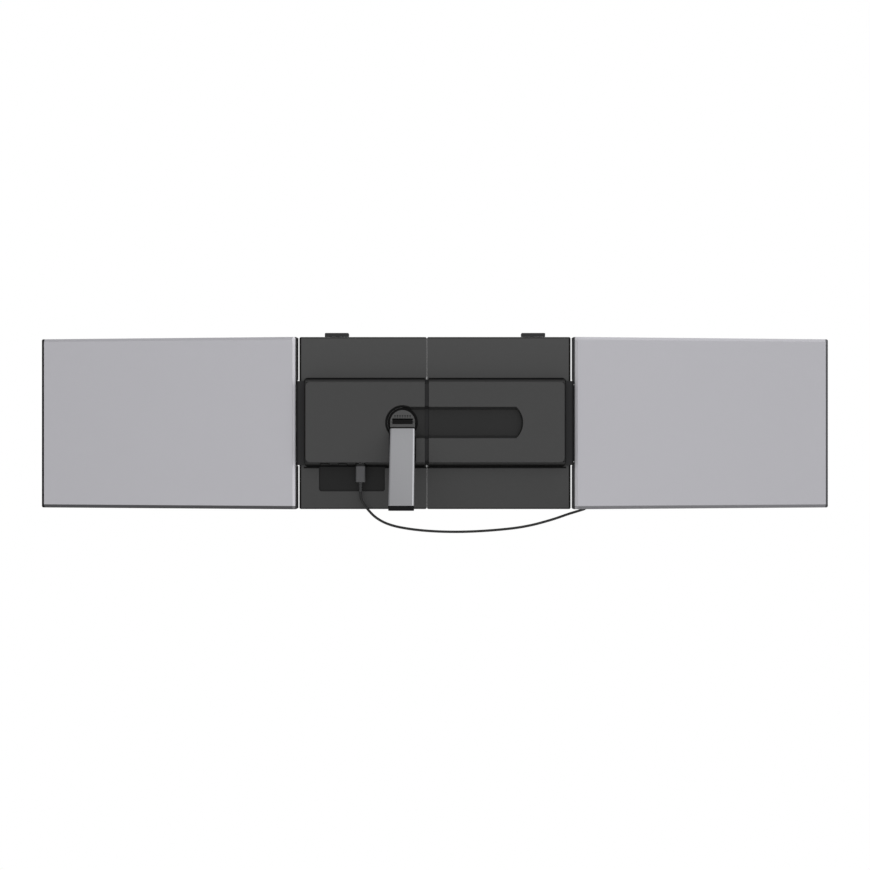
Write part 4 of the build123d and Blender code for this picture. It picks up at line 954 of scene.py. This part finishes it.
def moulded(node, corner, profile_of, look):
    """Piece in the place of a node on the lead: a profile of its box's height carried round its plan."""
    low, high = (np.array(end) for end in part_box(node))
    half = (high - low) / 2
    grid = rim_grid(half[0], half[1], corner, profile_of(2 * half[2]), per_corner=10)
    base = ((low[0] + high[0]) / 2, (low[1] + high[1]) / 2, low[2])
    return grid_piece(node + "_moulded", [grid + base], body_of(node), slot_of(node), look, [node])


# the lead's control points in millimetres, from the middle of the boot's and then of the gland's lower end
LEAD_FROM_BOOT = (
    (0.0, 0.0, 0.0),
    (0.0, 0.0, -6.7),
    (2.5, 0.5, -12.9),
    (9.2, 1.6, -22.1),
    (19.2, 3.0, -32.2),
    (35.0, 4.2, -40.1),
    (58.8, 5.0, -44.9),
    (88.8, 5.5, -47.7),
    (123.8, 6.1, -48.2),
)
LEAD_TO_GLAND = (
    (-108.6, -12.9, -24.4),
    (-72.6, -10.3, -20.6),
    (-40.6, -6.3, -12.5),
    (-18.6, -2.5, -4.9),
    (-8.4, -0.9, -2.1),
    (0.3, 0.0, 0.7),
)


def below(node):
    """Point in the middle of a node's lower end."""
    low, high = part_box(node)
    return np.array(((low.x + high.x) / 2, (low.y + high.y) / 2, low.z))


def lead_route():
    """All control points of the lead, from the boot to the gland."""
    return np.concatenate([below("lead_boot") + MM * np.array(LEAD_FROM_BOOT),
                           below("lead_gland") + MM * np.array(LEAD_TO_GLAND)])


def lead_line():
    """Points of the lead's route, read from its NURBS spline as a curve with no bevel."""
    curve = bpy.data.curves.new("lead route", "CURVE")
    curve.dimensions = "3D"
    spline = curve.splines.new("NURBS")
    route = lead_route()
    spline.points.add(len(route) - 1)
    spline.points.foreach_set("co", np.hstack([route, np.ones((len(route), 1))]).ravel())
    spline.order_u = 3
    spline.use_endpoint_u = True
    spline.resolution_u = 16
    holder = bpy.data.objects.new("lead route", curve)
    line = bpy.data.meshes.new_from_object(holder)
    points = points_of(line)
    bpy.data.objects.remove(holder)
    bpy.data.curves.remove(curve)
    bpy.data.meshes.remove(line)
    return points


def tube(name, line, radius, sides=20):
    """Round tube along a line: at each point a ring of radius in the plane across the line's direction."""
    along = np.gradient(line, axis=0)
    along /= np.linalg.norm(along, axis=1, keepdims=True)
    across = np.cross(along, (0.0, 1.0, 0.0))
    across /= np.linalg.norm(across, axis=1, keepdims=True)
    beside = np.cross(along, across)
    turn = np.linspace(0.0, 2 * math.pi, sides, endpoint=False)[None, :, None]
    grid = line[:, None] + radius * (np.cos(turn) * across[:, None] + np.sin(turn) * beside[:, None])
    return grid_mesh(name, [grid])


def cord_piece(name, line, radius):
    """One stretch of the lead: a round tube along its line."""
    made = added(name, tube(name, line, radius))
    made.data.materials.append(finish_of("lead_black"))
    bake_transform(made)
    return made


class EXTENDER_OT_lead(Operator):
    """Link lead with its plug, in two stretches: along the frame, then on into the right screen"""

    bl_idname = "extender.lead"
    bl_label = "Link lead"

    def execute(self, context):
        sizes = context.scene.extender_sizes
        low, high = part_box("lead_boot")
        plug = moulded("usb_plug_body", PLUG_CORNER, plug_profile, "plug_grey")
        boot = moulded("lead_boot", (high.x - low.x) / 2, boot_profile, "boot")
        line = lead_line()
        past = int(np.argmax(line[:, 0] >= sizes.lead_split))
        radius = sizes.lead_diameter / 2
        stretches = (
            ("link_lead_frame", line[: past + 1], ("left_frame", "right_frame"),
             [boot, plug, "usb_plug_shell"]),
            ("link_lead_screen", line[past:], ("right_frame", "right_screen"), ["lead_gland"]),
        )
        for name, part, bodies, on_it in stretches:
            made = cord_piece(name, part, radius)
            if name == "link_lead_frame":
                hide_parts("link_lead")
        return {"FINISHED"}


# ---- pieces of the frame

PAD_CORNER = 2.0 * MM
PAD_EDGE = 0.3 * MM
RIB_PITCH = 1.3 * MM


def pad_profile(half, thickness, rib, rows=60):
    """Inset and level of a ribbed pad: up a rounded edge, then inwards over cosine grooves."""
    edge = np.linspace(0.0, math.pi / 2, 6)
    rise = np.stack([PAD_EDGE * (1 - np.cos(edge)), thickness - PAD_EDGE * (1 - np.sin(edge))], axis=-1)
    inset = np.linspace(PAD_EDGE, half - LEAST_CORNER, rows)
    wave = 0.5 - 0.5 * np.cos(2 * math.pi * (inset - PAD_EDGE) / RIB_PITCH)
    ribs = np.stack([inset, thickness - rib * wave], axis=-1)
    return np.concatenate([[[0.0, 0.0]], rise, ribs[1:]])


def pad_grid(low, high, rib):
    """Ribbed pad that fills a box, with its back at the box's lowest Y."""
    half_x, half_z = (high[0] - low[0]) / 2, (high[2] - low[2]) / 2
    profile = pad_profile(min(half_x, half_z), high[1] - low[1], rib)
    flat = rim_grid(half_x, half_z, min(PAD_CORNER, half_z), profile)
    x, z, y = flat[..., 0], flat[..., 1], flat[..., 2]
    return np.stack([x + (low[0] + high[0]) / 2, y + low[1], z + (low[2] + high[2]) / 2], axis=-1)


GASKET_WIDTH = 0.26 * MM
GASKET_DEPTHS = (-5.9 * MM, -1.4 * MM)
GASKET_END = 0.6 * MM
GASKET_CORNER = 0.08 * MM


def gasket_grids():
    """Two thin rounded bars that close the seam between the plates, above and below the housing."""
    left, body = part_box("left_back_plate"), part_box("left_housing_cover")
    near, far = GASKET_DEPTHS
    middle = (left[1].x + GASKET_WIDTH / 2, (near + far) / 2)
    grids = []
    for bottom, top in ((left[0].z, body[0].z), (body[1].z, left[1].z)):
        profile = rounded_profile(top - bottom - 2 * GASKET_END, GASKET_CORNER, rows=12)
        bar = rim_grid(GASKET_WIDTH / 2, (far - near) / 2, GASKET_CORNER, profile, per_corner=3)
        grids.append(bar + (*middle, bottom + GASKET_END))
    return grids


def islands(node):
    """Boxes of a node's strips, told apart by the widest gap along X."""
    points = points_of(frame["nodes"][node].data)
    order = np.sort(points[:, 0])
    widest = int(np.argmax(np.diff(order)))
    cut = (order[widest] + order[widest + 1]) / 2
    groups = (points[points[:, 0] < cut], points[points[:, 0] > cut])
    return [(group.min(axis=0), group.max(axis=0)) for group in groups]


class EXTENDER_OT_plates(Operator):
    """Painted trays and sheets of the centre frame, with their screws, gasket and ribbed pads"""

    bl_idname = "extender.plates"
    bl_label = "Plates"

    def execute(self, context):
        sizes = context.scene.extender_sizes
        ease_nodes(both("back_plate"), sizes.soft_edge)
        ease_nodes(both("front_plate"), sizes.soft_edge, "sheet")
        paint_nodes(both("plate_screws"), "screw")
        grid_piece("seam_gasket", gasket_grids(), "left_frame", "rubber")
        for node in both("lid_pads"):
            grids = [pad_grid(low, high, sizes.pad_rib) for low, high in islands(node)]
            grid_piece(node + "_ribbed", grids, body_of(node), "rubber", replaced=[node])
        return {"FINISHED"}


class EXTENDER_OT_housing(Operator):
    """Moulded housing covers, sleeve and slide rails"""

    bl_idname = "extender.housing"
    bl_label = "Housing"

    def execute(self, context):
        ease_nodes(both("housing_cover"), context.scene.extender_sizes.soft_edge)
        paint_nodes(["slide_sleeve", "guide_rails", "rail_mounts", "rail_carriages"])
        return {"FINISHED"}


class EXTENDER_OT_kickstand(Operator):
    """Kickstand: head, pin, inner leg, cover and foot"""

    bl_idname = "extender.kickstand"
    bl_label = "Kickstand"

    def execute(self, context):
        width = context.scene.extender_sizes.soft_edge
        ease_nodes(["swivel_base"], width, "head", 3)
        ease_nodes(["leg_core"], width, "core", 3)
        ease_nodes(["leg_cover"], width, segments=3)
        ease_nodes(["leg_foot"], 2 * width, segments=3)
        paint_nodes(["swivel_washer", "swivel_screw", "tilt_pin"])
        return {"FINISHED"}


# thin strips along the screens' hinge edges, in millimetres: the screen's side, the low and high ends of
# the strip's section, counted outwards and in Y from the hinge's axis before the screen is turned, and
# the heights that each bar spans
BESIDE_HINGE = ((-46.0, 46.0),)
PAST_HINGE = ((51.6, 102.4), (-102.4, -51.6))
TRIMS = {
    "right_hinge_trim": ("right", (0.3, -7.55), (1.9, -7.05), BESIDE_HINGE),
    "right_edge_trim": ("right", (-0.6, -3.4), (0.1, -2.4), PAST_HINGE),
    "left_edge_trim": ("left", (0.1, 1.4), (1.2, 2.4), PAST_HINGE),
}
TRIM_CORNER = 0.2 * MM


def trim_grid(side, low, high, turn):
    """Thin rounded bar between two corners, turned with its screen about the hinge's axis."""
    low, high = np.array(low) * MM, np.array(high) * MM
    half = (high - low) / 2
    grid = rim_grid(half[0], half[1], TRIM_CORNER, rounded_profile(2 * half[2], TRIM_CORNER), per_corner=4)
    out = (grid[..., 0] + (low[0] + high[0]) / 2) * HAND[side]
    deep = grid[..., 1] + (low[1] + high[1]) / 2
    cosine, sine = math.cos(turn), HAND[side] * math.sin(turn)
    axis = pivot_of(side + "_screen_hinge")
    return np.stack([out * cosine - deep * sine + axis.x, out * sine + deep * cosine + axis.y,
                     grid[..., 2] + low[2]], axis=-1)


class EXTENDER_OT_hinges(Operator):
    """Screen hinges with their bands, leaves, pins, screws and trim"""

    bl_idname = "extender.hinges"
    bl_label = "Hinges"

    def execute(self, context):
        sizes = context.scene.extender_sizes
        ease_nodes(both("hinge_cover"), sizes.soft_edge, "band")
        paint_nodes(both("hinge_bracket", "hinge_pin", "hinge_leaf", "hinge_screws", "leaf_screws"), "screw")
        for name, (side, low, high, spans) in TRIMS.items():
            bars = [trim_grid(side, (*low, bottom), (*high, top), sizes.toe_angle) for bottom, top in spans]
            grid_piece(name, bars, body_of(side + "_rear_cover"), "dark_plastic")
        return {"FINISHED"}


class EXTENDER_OT_screens(Operator):
    """Screens: silver backs, dark frames, glass, display, driver board and keys"""

    bl_idname = "extender.screens"
    bl_label = "Screens"

    def execute(self, context):
        width = context.scene.extender_sizes.soft_edge
        ease_nodes(both("mid_frame", "power_button", "menu_button"), 0.8 * width)
        for side in SIDES:
            ease_nodes([side + "_rear_cover"], 1.4 * width, "silver_" + side, 3)
            ease_nodes([side + "_front_glass"], 0.3 * width, "glass_" + side)
        paint_nodes(both("lcd_module", "driver_board"))
        return {"FINISHED"}


CLIP_PAD_EDGE = 0.15 * MM


class EXTENDER_OT_clips(Operator):
    """Clips over the lid with their steel strips and rubber"""

    bl_idname = "extender.clips"
    bl_label = "Clips"

    def execute(self, context):
        ease_nodes(both("clip_hook"), context.scene.extender_sizes.soft_edge, "clip")
        ease_nodes(both("clip_pad"), CLIP_PAD_EDGE)
        paint_nodes(both("clip_arm"))
        return {"FINISHED"}


class EXTENDER_OT_ports(Operator):
    """Hub board and sockets, the plug's shell and the lead's gland"""

    bl_idname = "extender.ports"
    bl_label = "Ports"

    def execute(self, context):
        paint_nodes(["hub_board", "usb_plug_shell", "lead_gland"])
        paint_nodes(["usb_c_sockets"], "screw")
        return {"FINISHED"}


# ---- stage

STUDIO_GLOWS = (
    # azimuth from behind the frame towards +X, elevation, full within, gone at, strength
    (0.0, 5.0, 30.0, 62.0, 1.0),
    (58.0, 5.0, 6.0, 17.0, 1.0),
    (10.0, 75.0, 12.0, 48.0, 0.75),
    (70.0, 60.0, 5.0, 32.0, 0.6),
    (50.0, -60.0, 5.0, 38.0, 0.35),
    (180.0, 20.0, 30.0, 80.0, 0.8),
)
STUDIO_FILL = 0.06
WHITE = (1.0, 1.0, 1.0, 1.0)


def glow(direction, azimuth, elevation, full, gone, strength):
    """Round patch of studio light: the cosine of the angle to its middle, smoothed between two angles."""
    east, up = math.radians(azimuth), math.radians(elevation)
    middle = (math.sin(east) * math.cos(up), -math.cos(east) * math.cos(up), math.sin(up))
    patch = direction.id_data.nodes.new("ShaderNodeMapRange")
    patch.interpolation_type = "SMOOTHSTEP"
    inner, outer = math.cos(math.radians(full)), math.cos(math.radians(gone))
    for socket, term in (("Value", vectors("DOT_PRODUCT", direction, middle)), ("From Min", outer),
                         ("From Max", inner), ("To Max", strength)):
        linked(patch.inputs[socket], term)
    return patch.outputs["Result"]


def studio_world():
    """Soft patches of light all round; the camera itself sees a plain white backdrop."""
    world = bpy.data.worlds.new("Studio")
    world.use_nodes = True
    nodes = world.node_tree.nodes
    nodes.clear()
    direction = nodes.new("ShaderNodeTexCoord").outputs["Generated"]
    level = STUDIO_FILL
    for settings in STUDIO_GLOWS:
        level = maths("ADD", level, glow(direction, *settings))
    choice = nodes.new("ShaderNodeMixShader")
    linked(choice.inputs[0], nodes.new("ShaderNodeLightPath").outputs["Is Camera Ray"])
    for strength, socket in ((level, choice.inputs[1]), (1.0, choice.inputs[2])):
        glowing = nodes.new("ShaderNodeBackground")
        glowing.inputs["Color"].default_value = WHITE
        linked(glowing.inputs["Strength"], strength)
        linked(socket, glowing.outputs[0])
    linked(nodes.new("ShaderNodeOutputWorld").inputs["Surface"], choice.outputs[0])
    return world


class EXTENDER_OT_stage(Operator):
    """Pale floor, white surroundings and soft light"""

    bl_idname = "extender.stage"
    bl_label = "Stage"

    def execute(self, context):
        scene = context.scene
        sizes = scene.extender_sizes
        scene.view_settings.view_transform = "Standard"
        scene.world = studio_world()
        reach, level = sizes.floor_reach, -sizes.floor_drop
        plan = ((-reach, -reach), (reach, -reach), (reach, reach), (-reach, reach))
        corners = [(x, y, level) for x, y in plan]
        mesh = bpy.data.meshes.new("Floor")
        mesh.from_pydata(corners, [], [(0, 1, 2, 3)])
        pale = scene.extender_colours.floor
        mesh.materials.append(grained("Pale floor", pale, 0.7, grain=60.0, bump=1e-5))
        added("Floor", mesh)
        return {"FINISHED"}


class EXTENDER_PT_panel(Panel):
    """Extender's operators, sizes and colours"""

    bl_idname = "EXTENDER_PT_panel"
    bl_label = "Screen extender"
    bl_space_type = "VIEW_3D"
    bl_region_type = "UI"
    bl_category = "Extender"

    def draw(self, context):
        for operator in OPERATORS:
            self.layout.operator(operator.bl_idname)
        for group in (context.scene.extender_sizes, context.scene.extender_colours):
            for name in group.bl_rna.properties.keys():
                if name not in {"rna_type", "name"}:
                    self.layout.prop(group, name)


OPERATORS = (EXTENDER_OT_camera, EXTENDER_OT_lead, EXTENDER_OT_plates, EXTENDER_OT_housing,
             EXTENDER_OT_kickstand, EXTENDER_OT_hinges, EXTENDER_OT_screens, EXTENDER_OT_clips,
             EXTENDER_OT_ports, EXTENDER_OT_stage)
CLASSES = (ExtenderSizes, ExtenderColours, *OPERATORS, EXTENDER_PT_panel)


def register():
    """Add the classes and the scene's settings."""
    for each in CLASSES:
        bpy.utils.register_class(each)
    bpy.types.Scene.extender_sizes = PointerProperty(type=ExtenderSizes)
    bpy.types.Scene.extender_colours = PointerProperty(type=ExtenderColours)


def unregister():
    """Take the settings and the classes away."""
    del bpy.types.Scene.extender_colours
    del bpy.types.Scene.extender_sizes
    for each in reversed(CLASSES):
        bpy.utils.unregister_class(each)


def main():
    """Build everything in order."""
    register()
    for operator in OPERATORS:
        getattr(bpy.ops.extender, operator.bl_idname.split(".")[1])()


if __name__ == "__main__":
    main()
